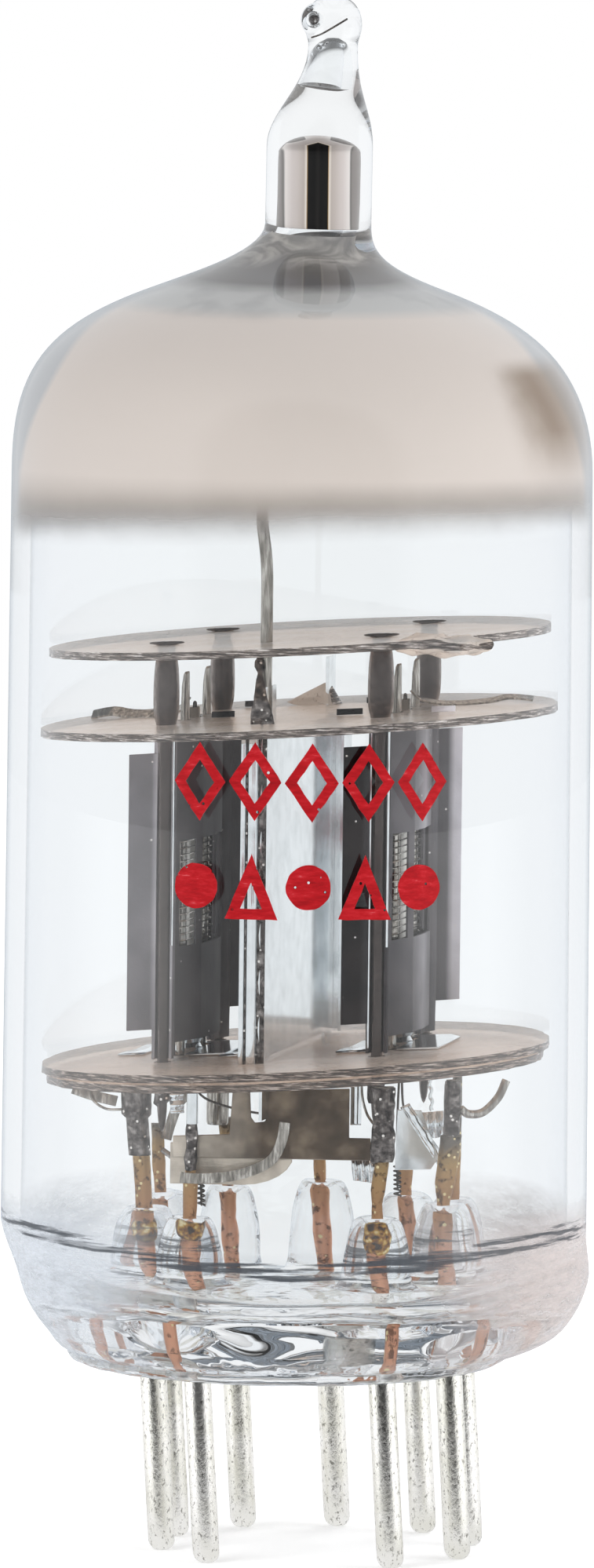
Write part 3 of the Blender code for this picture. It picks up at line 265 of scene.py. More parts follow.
def blown_glass():
    """Soda lime glass: grey blue at grazing angles by painted shade, frosted, rippled, and with painted dark
    refraction streaks where it was pressed.
    """
    made = bpy.data.materials.new("blown_glass")
    tree = cleared(made)
    place = add_node(tree, "TexCoord").outputs["Object"]
    # The grey blue at grazing angles is painted shade that stands in for the dark refracted edges of the
    # glass
    facing = add_node(tree, "LayerWeight", {"Blend": 0.5}).outputs["Facing"]
    tint = ramp(tree, facing, (0.0, "#FDFEFE"), (0.6, "#FBFCFD"), (0.82, "#F6F8FA"), (0.93, "#D9DEE3"),
                (1.0, "#B4BBC4"))
    inner_side = add_node(tree, "NewGeometry").outputs["Backfacing"]
    body = mixed(tree, inner_side, tint, "#FBFCFD")
    apart = split(tree, place)
    cells = clouds(tree, place, 0.8, 1.0)
    underside = ranged(tree, apart["Z"], SEAT + 1.3 * MM, SEAT + 0.7 * MM)
    rippled = product(tree, cells, underside)
    ripple = add_node(tree, "Bump", {"Strength": 0.5, "Distance": 0.15 * MM, "Height": rippled})
    glass = add_node(tree, "BsdfGlass", {"Roughness": 0.0, "IOR": 1.5, "Color": body,
                                         "Normal": ripple.outputs[0]})
    right = ranged(tree, apart["X"], -6.0 * MM, 6.0 * MM)
    frost = mixed(tree, right, "#D5DBE3", "#CDC4C2")
    haze = add_node(tree, "BsdfDiffuse", {"Color": frost})
    pressed = ranged(tree, apart["Z"], SEAT + 6.6 * MM, SEAT + 4.8 * MM)
    aside = calc(tree, "ABSOLUTE", apart["X"])
    outer = ranged(tree, aside, 5.2 * MM, 9.4 * MM, to_high=0.85)
    drawn = laid(tree, place, (0.22, 0.22, 1.0), turn=(0.0, 0.35, 0.0))
    mottle = clouds(tree, drawn, 0.3, 6.0, 0.8)
    patchy = ranged(tree, mottle, 0.34, 0.62, to_low=0.25)
    share = product(tree, pressed, outer, patchy)
    frosted = blended(tree, share, glass.outputs[0], haze.outputs[0])
    # Dark streaks across the front of the pressed base: painted dark refraction lines, not a seam
    climb = product(tree, aside, 0.1)
    above = calc(tree, "SUBTRACT", apart["Z"], climb)
    off = calc(tree, "SUBTRACT", above, SEAT + 4.55 * MM)
    away = calc(tree, "ABSOLUTE", off)
    in_band = ranged(tree, away, 0.75 * MM, 0.2 * MM, to_high=0.35)
    drawn_round = laid(tree, place, (0.09, 0.09, 1.7))
    lines = clouds(tree, drawn_round, 0.34, 5.0, 0.6)
    thick = calc(tree, "ADD", lines, in_band)
    streak = ranged(tree, thick, 0.83, 0.9, to_high=0.8)
    in_front = ranged(tree, apart["Y"], 0.0, -3.0 * MM)
    streaks = product(tree, streak, in_front)
    dark_refraction_streak = add_node(tree, "BsdfDiffuse", {"Color": "#4C5056"})
    surface = blended(tree, streaks, frosted, dark_refraction_streak.outputs[0])
    add_node(tree, "OutputMaterial", {"Surface": surface})
    let_light_through(tree, surface, "#FAFBFC")
    return made


def getter_flash():
    """Getter metal on the glass: pinkish taupe, faded below, brown at one side. Its grey band over the dome
    and dark band at the neck are painted reflection, its pale rim band is painted refraction, and its cloudy
    dark patches on the dome are painted shade.
    """
    made, tree, shader, place = start_finish("getter_flash", Metallic=0.3, Roughness=0.5)
    apart = split(tree, place)
    cloud = clouds(tree, place, 2.5, 4.0)
    # Up the dome the taupe gives way to a grey band and then a dark band at the neck: both bands are painted
    # reflection
    height = ranged(tree, apart["Z"], 39.0 * MM, 50.0 * MM)
    colour = ramp(tree, height, (0.0, "#A29D9A"), (0.1, "#C6BCB4"), (0.18, "#DED3CB"), (0.66, "#DED3CB"),
                  (0.69, "#C2C1BF"), (0.735, "#B9B8B6"), (0.765, "#666260"), (0.86, "#77736F"),
                  (1.0, "#8C8A88"))
    sizes = bpy.context.scene.tube_sizes
    for element in list(colour.node.color_ramp.elements)[2:4]:
        element.color = sizes.film_colour
    # A pale grey band where the film turns edge on, below the neck: painted refraction of the glass
    facing = add_node(tree, "LayerWeight", {"Blend": 0.5}).outputs["Facing"]
    rim = ranged(tree, facing, 0.275, 0.286)
    below_neck = ranged(tree, apart["Z"], 47.0 * MM, 46.2 * MM)
    outer = product(tree, rim, below_neck)
    turned = mixed(tree, outer, colour, "#BDBEC0")
    swirl = clouds(tree, place, 1.9, 5.0, distortion=2.0)
    curl = ranged(tree, swirl, 0.42, 0.64, to_high=0.75)
    at_neck = ranged(tree, apart["Z"], 47.9 * MM, 48.4 * MM)
    curls = product(tree, curl, at_neck)
    curled = mixed(tree, curls, turned, "#BEB8B2")
    # Cloudy dark patches on the dome: painted shade
    dome_shade_clouds = ranged(tree, cloud, 0.48, 0.66, to_high=0.4)
    on_dome = ranged(tree, apart["Z"], 46.1 * MM, 46.7 * MM)
    dome_shade = product(tree, dome_shade_clouds, on_dome)
    dimmed = mixed(tree, dome_shade, curled, "#77767A")
    slanted = add_node(tree, "VectorMath", {1: (1.0, 0.0, 0.5), 0: place}, operation="DOT_PRODUCT")
    wobble = product(tree, cloud, 1.2 * MM)
    reach = calc(tree, "ADD", slanted.outputs["Value"], wobble)
    beyond = ranged(tree, reach, 29.0 * MM, 30.8 * MM, kind="SMOOTHSTEP")
    under = ranged(tree, apart["Z"], 45.0 * MM, 44.3 * MM, kind="SMOOTHSTEP")
    over = ranged(tree, apart["Z"], 40.6 * MM, 42.6 * MM)
    near = ranged(tree, apart["Y"], 2.5 * MM, -4.0 * MM)
    share = product(tree, beyond, under, over, near, 0.85)
    brown = mixed(tree, share, dimmed, "#836A50")
    tree.links.new(brown, shader.inputs["Base Color"])
    tilt = product(tree, apart["X"], 0.035)
    level = calc(tree, "SUBTRACT", apart["Z"], tilt)
    drift = product(tree, cloud, 0.4 * MM)
    edge = calc(tree, "ADD", level, drift)
    fade = ranged(tree, edge, sizes.film_edge, sizes.film_edge + 2.4 * MM, kind="SMOOTHSTEP")
    tree.links.new(fade, shader.inputs["Alpha"])
    return made


def mirrored_bore():
    """Getter metal in the exhaust bore: a bright pinkish mirror, with a painted black reflection in a stripe
    in front and a painted dark outline.
    """
    made, tree, shader, place = start_finish("mirrored_bore", Metallic=0.5, Roughness=0.3)
    apart = split(tree, place)
    across = calc(tree, "SUBTRACT", apart["X"], 0.47 * MM)
    away = calc(tree, "ABSOLUTE", across)
    back = calc(tree, "GREATER_THAN", apart["Y"], 0.0)
    aside = product(tree, back, 1.0 * MM)
    above = ranged(tree, apart["Z"], 53.22 * MM, 53.4 * MM, to_high=0.6 * MM)
    sum_one = calc(tree, "ADD", away, aside)
    total = calc(tree, "ADD", sum_one, above)
    share = ranged(tree, total, 0.0, 1.0 * MM)
    # The black stripe in front is a painted reflection of dark surroundings; the dark ring near the edges is
    # a painted dark outline
    colour = ramp(tree, share, (0.0, "#1A1816"), (0.1, "#070606"), (0.31, "#0B0A09"), (0.335, "#A98B62"),
                  (0.36, "#F0E7DD"), (0.43, "#C2B7B0"), (0.78, "#D5CBC7"), (0.93, "#E9E2DE"),
                  (0.965, "#6E6A68"), (1.0, "#8C8683"))
    tree.links.new(colour, shader.inputs["Base Color"])
    return made


def tinned_wire():
    """Nickel pin wire, dipped in tin: silvery, nearly neutral, finely pitted."""
    made, tree, shader, place = start_finish("tinned_wire", Metallic=1.0, Roughness=0.13)
    stretched = laid(tree, place, (1.0, 1.0, 0.6))
    pits = clouds(tree, stretched, 0.13, 5.0, 0.7)
    stain = clouds(tree, place, 1.4, 3.0)
    colour = ramp(tree, stain, (0.35, "#EFEEE6"), (0.65, "#FDFCF9"))
    dark = ramp(tree, pits, (0.36, "#4A483E"), (0.44, "#FFFFFF"))
    both = mixed(tree, 0.7, colour, dark, "MULTIPLY")
    tree.links.new(both, shader.inputs["Base Color"])
    embossed(tree, shader, pits, 1.0, 0.02)
    return made


def drawn_nickel():
    """Drawn or rolled nickel, left bare: satin grey with fine streaks along the draw."""
    made, tree, shader, place = start_finish("drawn_nickel", Metallic=1.0, Roughness=0.2)
    stretched = laid(tree, place, (1.0, 1.0, 0.12))
    streaks = clouds(tree, stretched, 0.12, 3.0)
    colour = ramp(tree, streaks, (0.3, "#6A655F"), (0.5, "#9C9790"), (0.72, "#D6D2CC"))
    tree.links.new(colour, shader.inputs["Base Color"])
    embossed(tree, shader, streaks, 0.3, 0.02)
    return made


def bright_nickel():
    """Thin nickel sheet, annealed and cleaned bright: nearly white, satin, with small dents."""
    made, tree, shader, place = start_finish("bright_nickel", Metallic=1.0, Roughness=0.12)
    dents = clouds(tree, place, 0.9, 3.0)
    colour = ramp(tree, dents, (0.3, "#DDE1E3"), (0.6, "#EEF1F3"))
    tree.links.new(colour, shader.inputs["Base Color"])
    embossed(tree, shader, dents, 0.15, 0.02)
    return made


def carbonised_nickel():
    """Nickel sheet blackened with carbon: brownish black, with pale dust; its paler wings and the bright
    band by the front posts are painted reflection and highlight.
    """
    made, tree, shader, place = start_finish("carbonised_nickel", Roughness=0.42, Specular_IOR_Level=0.02)
    grain = clouds(tree, place, 0.16, 4.0)
    patches = clouds(tree, place, 1.8, 2.0)
    black = ramp(tree, patches, (0.35, "#0B0808"), (0.5, "#151112"), (0.65, "#241E1E"))
    squared = laid(tree, place, turn=(0.0, 0.0, -CAGE_TURN))
    apart = split(tree, squared)
    across = ranged(tree, apart["X"], -6.0 * MM, 6.0 * MM)
    # Paler wings and a bright band by the front posts, by place across the cage: painted reflection and
    # highlight
    in_front = ramp(tree, across, (0.0, "#808080"), (0.12, "#888888"), (0.135, "#C4C4C4"),
                    (0.185, "#C4C4C4"), (0.2, "#5C5C5C"), (0.25, "#505050"), (0.28, "#000000"),
                    (0.79, "#000000"), (0.815, "#444444"), (0.9, "#484848"))
    behind = ramp(tree, across, (0.0, "#989898"), (0.22, "#6C6C6C"), (0.27, "#000000"), (0.76, "#000000"),
                  (0.82, "#585858"), (0.905, "#6C6C6C"), (0.925, "#F0F0F0"), (0.95, "#FFFFFF"))
    forward = ranged(tree, apart["Y"], -3.75 * MM, -3.9 * MM)
    share = mixed(tree, forward, behind, in_front)
    # Paler towards the top: painted reflection
    rising = ranged(tree, apart["Z"], 20.0 * MM, 30.0 * MM, to_low=0.7)
    cloudy = ranged(tree, patches, 0.3, 0.7, 0.75, 1.1)
    painted_light = product(tree, share, rising, cloudy)
    sheet = mixed(tree, painted_light, black, "#F2EEF5")
    dust = add_node(tree, "TexVoronoi", {"Scale": 1.0 / (0.36 * MM), "Vector": place})
    speck = ranged(tree, dust.outputs["Distance"], 0.14, 0.09)
    rare = add_node(tree, "SeparateColor", {0: dust.outputs["Color"]})
    kept = calc(tree, "GREATER_THAN", rare.outputs[0], 0.8)
    shown = product(tree, speck, kept)
    colour = mixed(tree, shown, sheet, "#DAD5D2")
    tree.links.new(colour, shader.inputs["Base Color"])
    embossed(tree, shader, grain, 0.4, 0.03)
    return made


def browned_post():
    """Nickel support wire, browned in the firing: speckled, with a painted reflection that darkens it where
    it faces the viewer and pales its edges.
    """
    made, tree, shader, place = start_finish("browned_post", Metallic=0.9, Roughness=0.24)
    grit = clouds(tree, place, 0.14, 5.0, 0.7)
    colour = ramp(tree, grit, (0.3, "#6A625F"), (0.5, "#A39A96"), (0.7, "#C4BCB8"))
    # Darker in the middle and paler at the edges: painted reflection
    facing = add_node(tree, "LayerWeight", {"Blend": 0.5}).outputs["Facing"]
    shade = ramp(tree, facing, (0.04, "#7C7877"), (0.2, "#8E8A89"), (0.42, "#E6E4E3"))
    worked = mixed(tree, 1.0, colour, shade, "MULTIPLY")
    tree.links.new(worked, shader.inputs["Base Color"])
    embossed(tree, shader, grit, 0.3, 0.015)
    return made


def copper_clad_wire():
    """Copper clad seal wire: copper red at the glass, oxidised brown above it, and grey nickel on top."""
    made, tree, shader, place = start_finish("copper_clad_wire", Metallic=0.85, Roughness=0.38)
    apart = split(tree, place)
    mottle = clouds(tree, place, 0.35, 4.0, 0.65)
    shift = product(tree, mottle, 1.2 * MM)
    height = calc(tree, "ADD", apart["Z"], shift)
    share = ranged(tree, height, SEAT, SEAT + 10.0 * MM)
    colour = ramp(tree, share, (0.0, "#D29A7C"), (0.55, "#DBA182"), (0.66, "#B98861"), (0.86, "#A88A5C"),
                  (0.93, "#6E675F"), (1.0, "#77726C"))
    dark = ramp(tree, mottle, (0.38, "#55463C"), (0.47, "#FFFFFF"))
    both = mixed(tree, 0.8, colour, dark, "MULTIPLY")
    dotted = mixed(tree, dots(tree, place, 0.34), both, "#EAD9A8")
    tree.links.new(dotted, shader.inputs["Base Color"])
    embossed(tree, shader, mottle, 0.35, 0.05)
    return made


def split_mica():
    """Split mica: thin beige leaves that let some light through, cloudy, and dark where the leaves end;
    painted shade darkens the lower discs and a painted shadow browns their middle.
    """
    made, tree, shader, place = start_finish("split_mica", Roughness=0.22)
    cloud = clouds(tree, place, 2.2, 5.0)
    fleck = clouds(tree, place, 0.25, 3.0, 0.7)
    face = ramp(tree, cloud, (0.3, "#E6D9CC"), (0.5, "#F5EAE0"), (0.7, "#FCF7F2"))
    stacked = laid(tree, place, (0.15, 0.15, 2.2))
    leaves = clouds(tree, stacked, 0.12, 4.0, 0.7)
    rim = ramp(tree, leaves, (0.42, "#2A2320"), (0.5, "#574D47"), (0.57, "#968B84"), (0.66, "#DED6D1"))
    upright = split(tree, tree.nodes["Texture Coordinate"].outputs["Normal"])
    flat = calc(tree, "ABSOLUTE", upright["Z"])
    edge = calc(tree, "LESS_THAN", flat, 0.6)
    colour = mixed(tree, edge, face, rim)
    dark = ramp(tree, fleck, (0.33, "#8E837A"), (0.42, "#FFFFFF"))
    both = mixed(tree, 0.7, colour, dark, "MULTIPLY")
    # The lower discs darker: painted shade
    low = ranged(tree, split(tree, place)["Z"], 24.0 * MM, 20.0 * MM, to_high=0.7)
    lower = mixed(tree, low, both, "#DDD2C9", "MULTIPLY")
    # Darker and browner near the axis of the lower discs: painted shadow between the anodes
    flat_place = add_node(tree, "VectorMath", {1: (1.0, 1.0, 0.0), 0: place}, operation="MULTIPLY")
    from_axis = add_node(tree, "VectorMath", {0: flat_place.outputs[0]}, operation="LENGTH")
    centre = ranged(tree, from_axis.outputs["Value"], 5.0 * MM, 2.0 * MM)
    shaded = product(tree, centre, low)
    centre_shade = mixed(tree, shaded, lower, "#A8906F", "MULTIPLY")
    tree.links.new(centre_shade, shader.inputs["Base Color"])
    embossed(tree, shader, fleck, 0.3, 0.04)
    clear = add_node(tree, "BsdfTransparent", {"Color": "#FFF2E8"})
    through = calc(tree, "MULTIPLY_ADD", edge, -0.35, 0.4)
    thin = blended(tree, through, shader.outputs[0], clear.outputs[0])
    let_light_through(tree, thin, "#EFE8E2")
    return made


def stained_nickel():
    """Nickel sheet stained by heat: dark olive, scratched, with paler places where it is painted lit."""
    made, tree, shader, place = start_finish("stained_nickel", Metallic=0.9, Roughness=0.33)
    cloud = clouds(tree, place, 1.1, 4.0)
    colour = ramp(tree, cloud, (0.3, "#33291F"), (0.5, "#53463A"), (0.68, "#7D6E5D"))
    apart = split(tree, place)
    # Paler to the left and at the bottom: painted light where the sheet turns towards the light
    painted_light = ranged(tree, apart["X"], -1.2 * MM, -4.0 * MM, to_high=0.85)
    lower = ranged(tree, apart["Z"], 15.35 * MM, 15.2 * MM, to_high=1.1)
    either = calc(tree, "MAXIMUM", painted_light, lower)
    pale = mixed(tree, product(tree, either, cloud, 1.7), colour, "#D8CDBF")
    tree.links.new(pale, shader.inputs["Base Color"])
    stretched = laid(tree, place, (0.1, 1.0, 1.0), turn=(0.0, 0.5, 0.0))
    scratches = clouds(tree, stretched, 0.08, 2.0)
    embossed(tree, shader, scratches, 0.35, 0.03)
    return made


def coated_heater():
    """Tungsten heater wire with a fired alumina coat: chalky dark grey."""
    made, tree, shader, place = start_finish("coated_heater", Roughness=0.75)
    grain = clouds(tree, place, 0.1, 3.0)
    colour = ramp(tree, grain, (0.35, "#2B2725"), (0.65, "#5A534E"))
    tree.links.new(colour, shader.inputs["Base Color"])
    return made


def oxide_coated_cathode():
    """Nickel cathode sleeve with a sprayed oxide coat: chalky off-white between bare ends."""
    made, tree, shader, place = start_finish("oxide_coated_cathode", Roughness=0.55)
    apart = split(tree, place)
    low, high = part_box("left_anode_outer")[0].z + MM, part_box("left_anode_outer")[1].z - MM
    above = calc(tree, "GREATER_THAN", apart["Z"], low)
    below = calc(tree, "LESS_THAN", apart["Z"], high)
    coated = product(tree, above, below)
    colour = mixed(tree, coated, "#A9A59E", "#DCD9D3")
    tree.links.new(colour, shader.inputs["Base Color"])
    bare = calc(tree, "SUBTRACT", 1.0, coated)
    tree.links.new(bare, shader.inputs["Metallic"])
    return made


def bead_glass():
    """Seal glass on the copper wire: small beads, amber to yellow, glossy."""
    made, tree, shader, place = start_finish("bead_glass", Roughness=0.1, IOR=1.5, Transmission_Weight=0.3)
    cloud = clouds(tree, place, 0.22, 3.0)
    colour = ramp(tree, cloud, (0.38, "#2E1B0C"), (0.48, "#8A5A22"), (0.58, "#C9A04A"), (0.68, "#F2E4B4"))
    tree.links.new(colour, shader.inputs["Base Color"])
    return made


def crimped_sleeve():
    """Nickel sleeve crimped on a lead: dark, shiny on its dents, peppered with pale weld specks."""
    made, tree, shader, place = start_finish("crimped_sleeve", Metallic=0.9, Roughness=0.24)
    cloud = clouds(tree, place, 0.3, 4.0, 0.7)
    colour = ramp(tree, cloud, (0.36, "#1D1A1A"), (0.5, "#57514F"), (0.64, "#97918E"))
    dotted = mixed(tree, dots(tree, place, 0.3), colour, "#E9E4DF")
    tree.links.new(dotted, shader.inputs["Base Color"])
    embossed(tree, shader, cloud, 0.6, 0.04)
    return made


def fired_enamel():
    """Red enamel ink, stamped and fired on the glass: glossy, with pinholes and thin pale streaks."""
    made, tree, shader, place = start_finish("fired_enamel", Roughness=0.35, Specular_IOR_Level=0.2)
    slanted = laid(tree, place, (0.35, 1.0, 1.6), turn=(0.0, 0.9, 0.0))
    streaks = clouds(tree, slanted, 0.35, 5.0, 0.7)
    colour = ramp(tree, streaks, (0.3, "#920813"), (0.5, "#AE0D18"), (0.62, "#BC1C26"), (0.76, "#D2646A"))
    colour.node.color_ramp.elements[1].color = bpy.context.scene.tube_sizes.print_colour
    tree.links.new(colour, shader.inputs["Base Color"])
    embossed(tree, shader, streaks, 0.4, 0.05)
    specks = add_node(tree, "TexVoronoi", {"Scale": 1.0 / (0.5 * MM), "Vector": place})
    hole = calc(tree, "GREATER_THAN", specks.outputs["Distance"], 0.12)
    tree.links.new(hole, shader.inputs["Alpha"])
    return made


FINISHES = {}


def finish(make):
    """Each finish is made once and shared."""
    if make.__name__ not in FINISHES:
        FINISHES[make.__name__] = make()
    return FINISHES[make.__name__]


def place_piece(name, shape, make, nodes=(), sharp=35.0):
    """Turn a finished bmesh into a named piece that rides on the tube."""
    mesh = bpy.data.meshes.new(name)
    shape.to_mesh(mesh)
    shape.free()
    if "custom_normal" in mesh.attributes:
        mesh.attributes.remove(mesh.attributes["custom_normal"])
    mesh.materials.clear()
    mesh.materials.append(finish(make))
    mesh.shade_smooth()
    mesh.set_sharp_from_angle(angle=math.radians(sharp))
    piece = bpy.data.objects.new(name, mesh)
    bpy.context.scene.collection.objects.link(piece)
    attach(piece, "root")
    if nodes:
        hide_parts(*nodes)
    return piece


def copy_of(node):
    """A solid of the frame as a bmesh, its loose triangles merged into whole faces."""
    shape = bmesh.new()
    shape.from_mesh(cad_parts[node].data)
    bmesh.ops.remove_doubles(shape, verts=shape.verts, dist=MERGE_DISTANCE)
    bmesh.ops.join_triangles(shape, faces=shape.faces, angle_face_threshold=0.7,
                             angle_shape_threshold=math.pi)
    for face in shape.faces:
        face.material_index = 0
    return shape


def softened(piece, levels):
    """Round a piece off with a Subdivision Surface."""
    modifier = piece.modifiers.new("Soft", "SUBSURF")
    modifier.levels = modifier.render_levels = levels


def edged(piece, width):
    """Give a sheet its rolled or cut edge with a Bevel."""
    modifier = piece.modifiers.new("Edge", "BEVEL")
    modifier.width = width
    modifier.segments = 2
    modifier.limit_method = "ANGLE"
    modifier.angle_limit = math.radians(40.0)


def crumpled(shape, amount, size, seed):
    """Dent a thin sheet by smooth noise."""
    for vert in shape.verts:
        at = vert.co / size + Vector((seed, 2.0 * seed, 0.0))
        vert.co += noise.noise_vector(at) * amount
    return shape


def rounded(start, corner, end, steps, reach=(ROUND, ROUND)):
    """A corner of a profile rounded off, from start up to just before its end."""
    start, corner, end = (Vector((*point, 0.0)) for point in (start, corner, end))
    near, far = start.lerp(corner, reach[0]), end.lerp(corner, reach[1])
    return [(point.x, point.y) for point in interpolate_bezier(start, near, far, end, steps + 1)[:-1]]


def eased(start, end, steps, reach=(0.35, 0.45)):
    """A profile that goes from one radius to another and is upright at both ends."""
    rise = end[1] - start[1]
    corners = [start, (start[0], start[1] + reach[0] * rise), (end[0], end[1] - reach[1] * rise), end]
    points = interpolate_bezier(*(Vector((*point, 0.0)) for point in corners), steps + 1)[:-1]
    return [(point.x, point.y) for point in points]


def spun(profile, segments, closed=False):
    """Spin an outline of (radius, height) points about the upright axis, faces out."""
    shape = bmesh.new()
    verts = [shape.verts.new((radius, 0.0, height)) for radius, height in profile]
    edges = [shape.edges.new(pair) for pair in zip(verts, verts[1:])]
    if closed:
        edges.append(shape.edges.new((verts[-1], verts[0])))
    bmesh.ops.spin(shape, geom=verts + edges, axis=(0, 0, 1), cent=(0, 0, 0), angle=2.0 * math.pi,
                   steps=segments, use_merge=True)
    bmesh.ops.remove_doubles(shape, verts=shape.verts, dist=MERGE_DISTANCE)
    bmesh.ops.recalc_face_normals(shape, faces=shape.faces)
    return shape


def ball(radius, fineness):
    """A plain sphere about the origin."""
    shape = bmesh.new()
    bmesh.ops.create_icosphere(shape, subdivisions=fineness, radius=radius)
    return shape


def raised(shape, height):
    """Give flat faces a thickness upwards."""
    grown = bmesh.ops.extrude_face_region(shape, geom=list(shape.faces))
    top = [item for item in grown["geom"] if isinstance(item, bmesh.types.BMVert)]
    bmesh.ops.translate(shape, verts=top, vec=(0.0, 0.0, height))
    bmesh.ops.recalc_face_normals(shape, faces=shape.faces)


def moved(shape, x, y, z):
    """Shift a shape and hand it back."""
    bmesh.ops.translate(shape, verts=shape.verts, vec=(x, y, z))
    return shape


def merged(shapes):
    """Put several separate shapes into one bmesh."""
    whole = bmesh.new()
    for shape in shapes:
        mesh = bpy.data.meshes.new("joined")
        shape.to_mesh(mesh)
        shape.free()
        whole.from_mesh(mesh)
        bpy.data.meshes.remove(mesh)
    return whole


def boolean(shape, cutter, operation="DIFFERENCE"):
    """Cut one shape with another, and hand back the result."""
    objects = []
    for name, item in (("kept", shape), ("cutter", cutter)):
        mesh = bpy.data.meshes.new(name)
        item.to_mesh(mesh)
        item.free()
        objects.append(bpy.data.objects.new(name, mesh))
        bpy.context.scene.collection.objects.link(objects[-1])
    modifier = objects[0].modifiers.new("Cut", "BOOLEAN")
    modifier.operation = operation
    modifier.solver = "EXACT"
    modifier.object = objects[1]
    result = bmesh.new()
    result.from_object(objects[0], bpy.context.evaluated_depsgraph_get())
    for item in objects:
        mesh = item.data
        bpy.data.objects.remove(item)
        bpy.data.meshes.remove(mesh)
    return result


def between(stops, level):
    """Blend a table of rows, whose first number is a level, at one level."""
    level = min(max(level, stops[0][0]), stops[-1][0])
    for low, high in zip(stops, stops[1:]):
        if level <= high[0]:
            share = (level - low[0]) / (high[0] - low[0])
            return [a + (b - a) * share for a, b in zip(low[1:], high[1:])]
    return list(stops[-1][1:])


def spindle(stops, dented, seed, sides=24):
    """A solid led along its stops: (height, x, y, half width, half depth), all in millimetres."""
    count = max(2, int((stops[-1][0] - stops[0][0]) / 0.2))
    heights = {stops[0][0] + (stops[-1][0] - stops[0][0]) * i / count for i in range(count + 1)}
    heights = sorted(heights | {row[0] for row in stops})
    shape = spun([(0.0, heights[0] * MM)] + [(MM, z * MM) for z in heights] + [(0.0, heights[-1] * MM)],
                 sides)
    for vert in shape.verts:
        x, y, wide, deep = between(stops, vert.co.z / MM)
        vert.co.x = vert.co.x * wide + x * MM
        vert.co.y = vert.co.y * deep + y * MM
    return crumpled(shape, dented * MM, 0.35 * MM, seed)


def sheet_shape(corner, across, along, rows, ripple, waves):
    """A thin sheet from a corner, spread by two vectors in millimetres and rippled across its rows."""
    shape = bmesh.new()
    bmesh.ops.create_grid(shape, x_segments=1, y_segments=rows, size=0.5)
    across, along = Vector(across), Vector(along)
    out = across.cross(along).normalized()
    for vert in shape.verts:
        u, v = vert.co.x + 0.5, vert.co.y + 0.5
        wave = ripple * math.sin(2.0 * math.pi * waves * v)
        vert.co = (Vector(corner) + across * u + along * v + out * wave) * MM
    return shape


def thickened(piece, thickness):
    """Give a flat sheet its thickness with a Solidify."""
    modifier = piece.modifiers.new("Thickness", "SOLIDIFY")
    modifier.thickness = thickness
    modifier.offset = 0.0


def smooth_path(points, steps=6):
    """Points in millimetres joined by a smooth curve."""
    points = [Vector(point) * MM for point in points]
    padded = [2 * points[0] - points[1], *points, 2 * points[-1] - points[-2]]
    path = []
    for before, start, end, after in zip(padded, padded[1:], padded[2:], padded[3:]):
        near, far = start + (end - before) / 6, end - (after - start) / 6
        path += interpolate_bezier(start, near, far, end, steps + 1)[:-1]
    return path + [points[-1]]


def coil_path(start, end, radius, pitch):
    """Points of a close coil round a straight line that is given in millimetres."""
    start, end = Vector(start), Vector(end)
    turns = (end - start).length / pitch
    count = int(turns * 10)
    path = []
    for i in range(count + 1):
        angle = 2.0 * math.pi * i / 10
        ring = Vector((math.cos(angle), math.sin(angle), 0.0)) * radius
        path.append((start.lerp(end, i / count) + ring) * MM)
    return path


def wander(height):
    """How far the glass lies to the right of the tube's axis at a height."""
    stops = [(SEAT, -0.3), (SEAT + 1.4 * MM, 0.4), (SEAT + 3.2 * MM, 0.4), (STRAIGHT_START, 0.0),
             (STRAIGHT_END, 0.0), (SHOULDER_END, -0.25), (NECK_START, 0.5), (NECK_END, 0.52),
             (DROP_START, 0.98), (TUBE_TOP, 0.98)]
    if height <= stops[0][0]:
        return stops[0][1] * MM
    for (low, start), (high, end) in zip(stops, stops[1:]):
        if height <= high:
            share = (height - low) / (high - low)
            ease = share * share * (3.0 - 2.0 * share)
            return (start + (end - start) * ease) * MM
    return stops[-1][1] * MM


def drawn_by_hand(shape):
    """Let the glass wander off its axis, as it was sealed and drawn off by hand."""
    for vert in shape.verts:
        vert.co.x += wander(vert.co.z)
    return shape


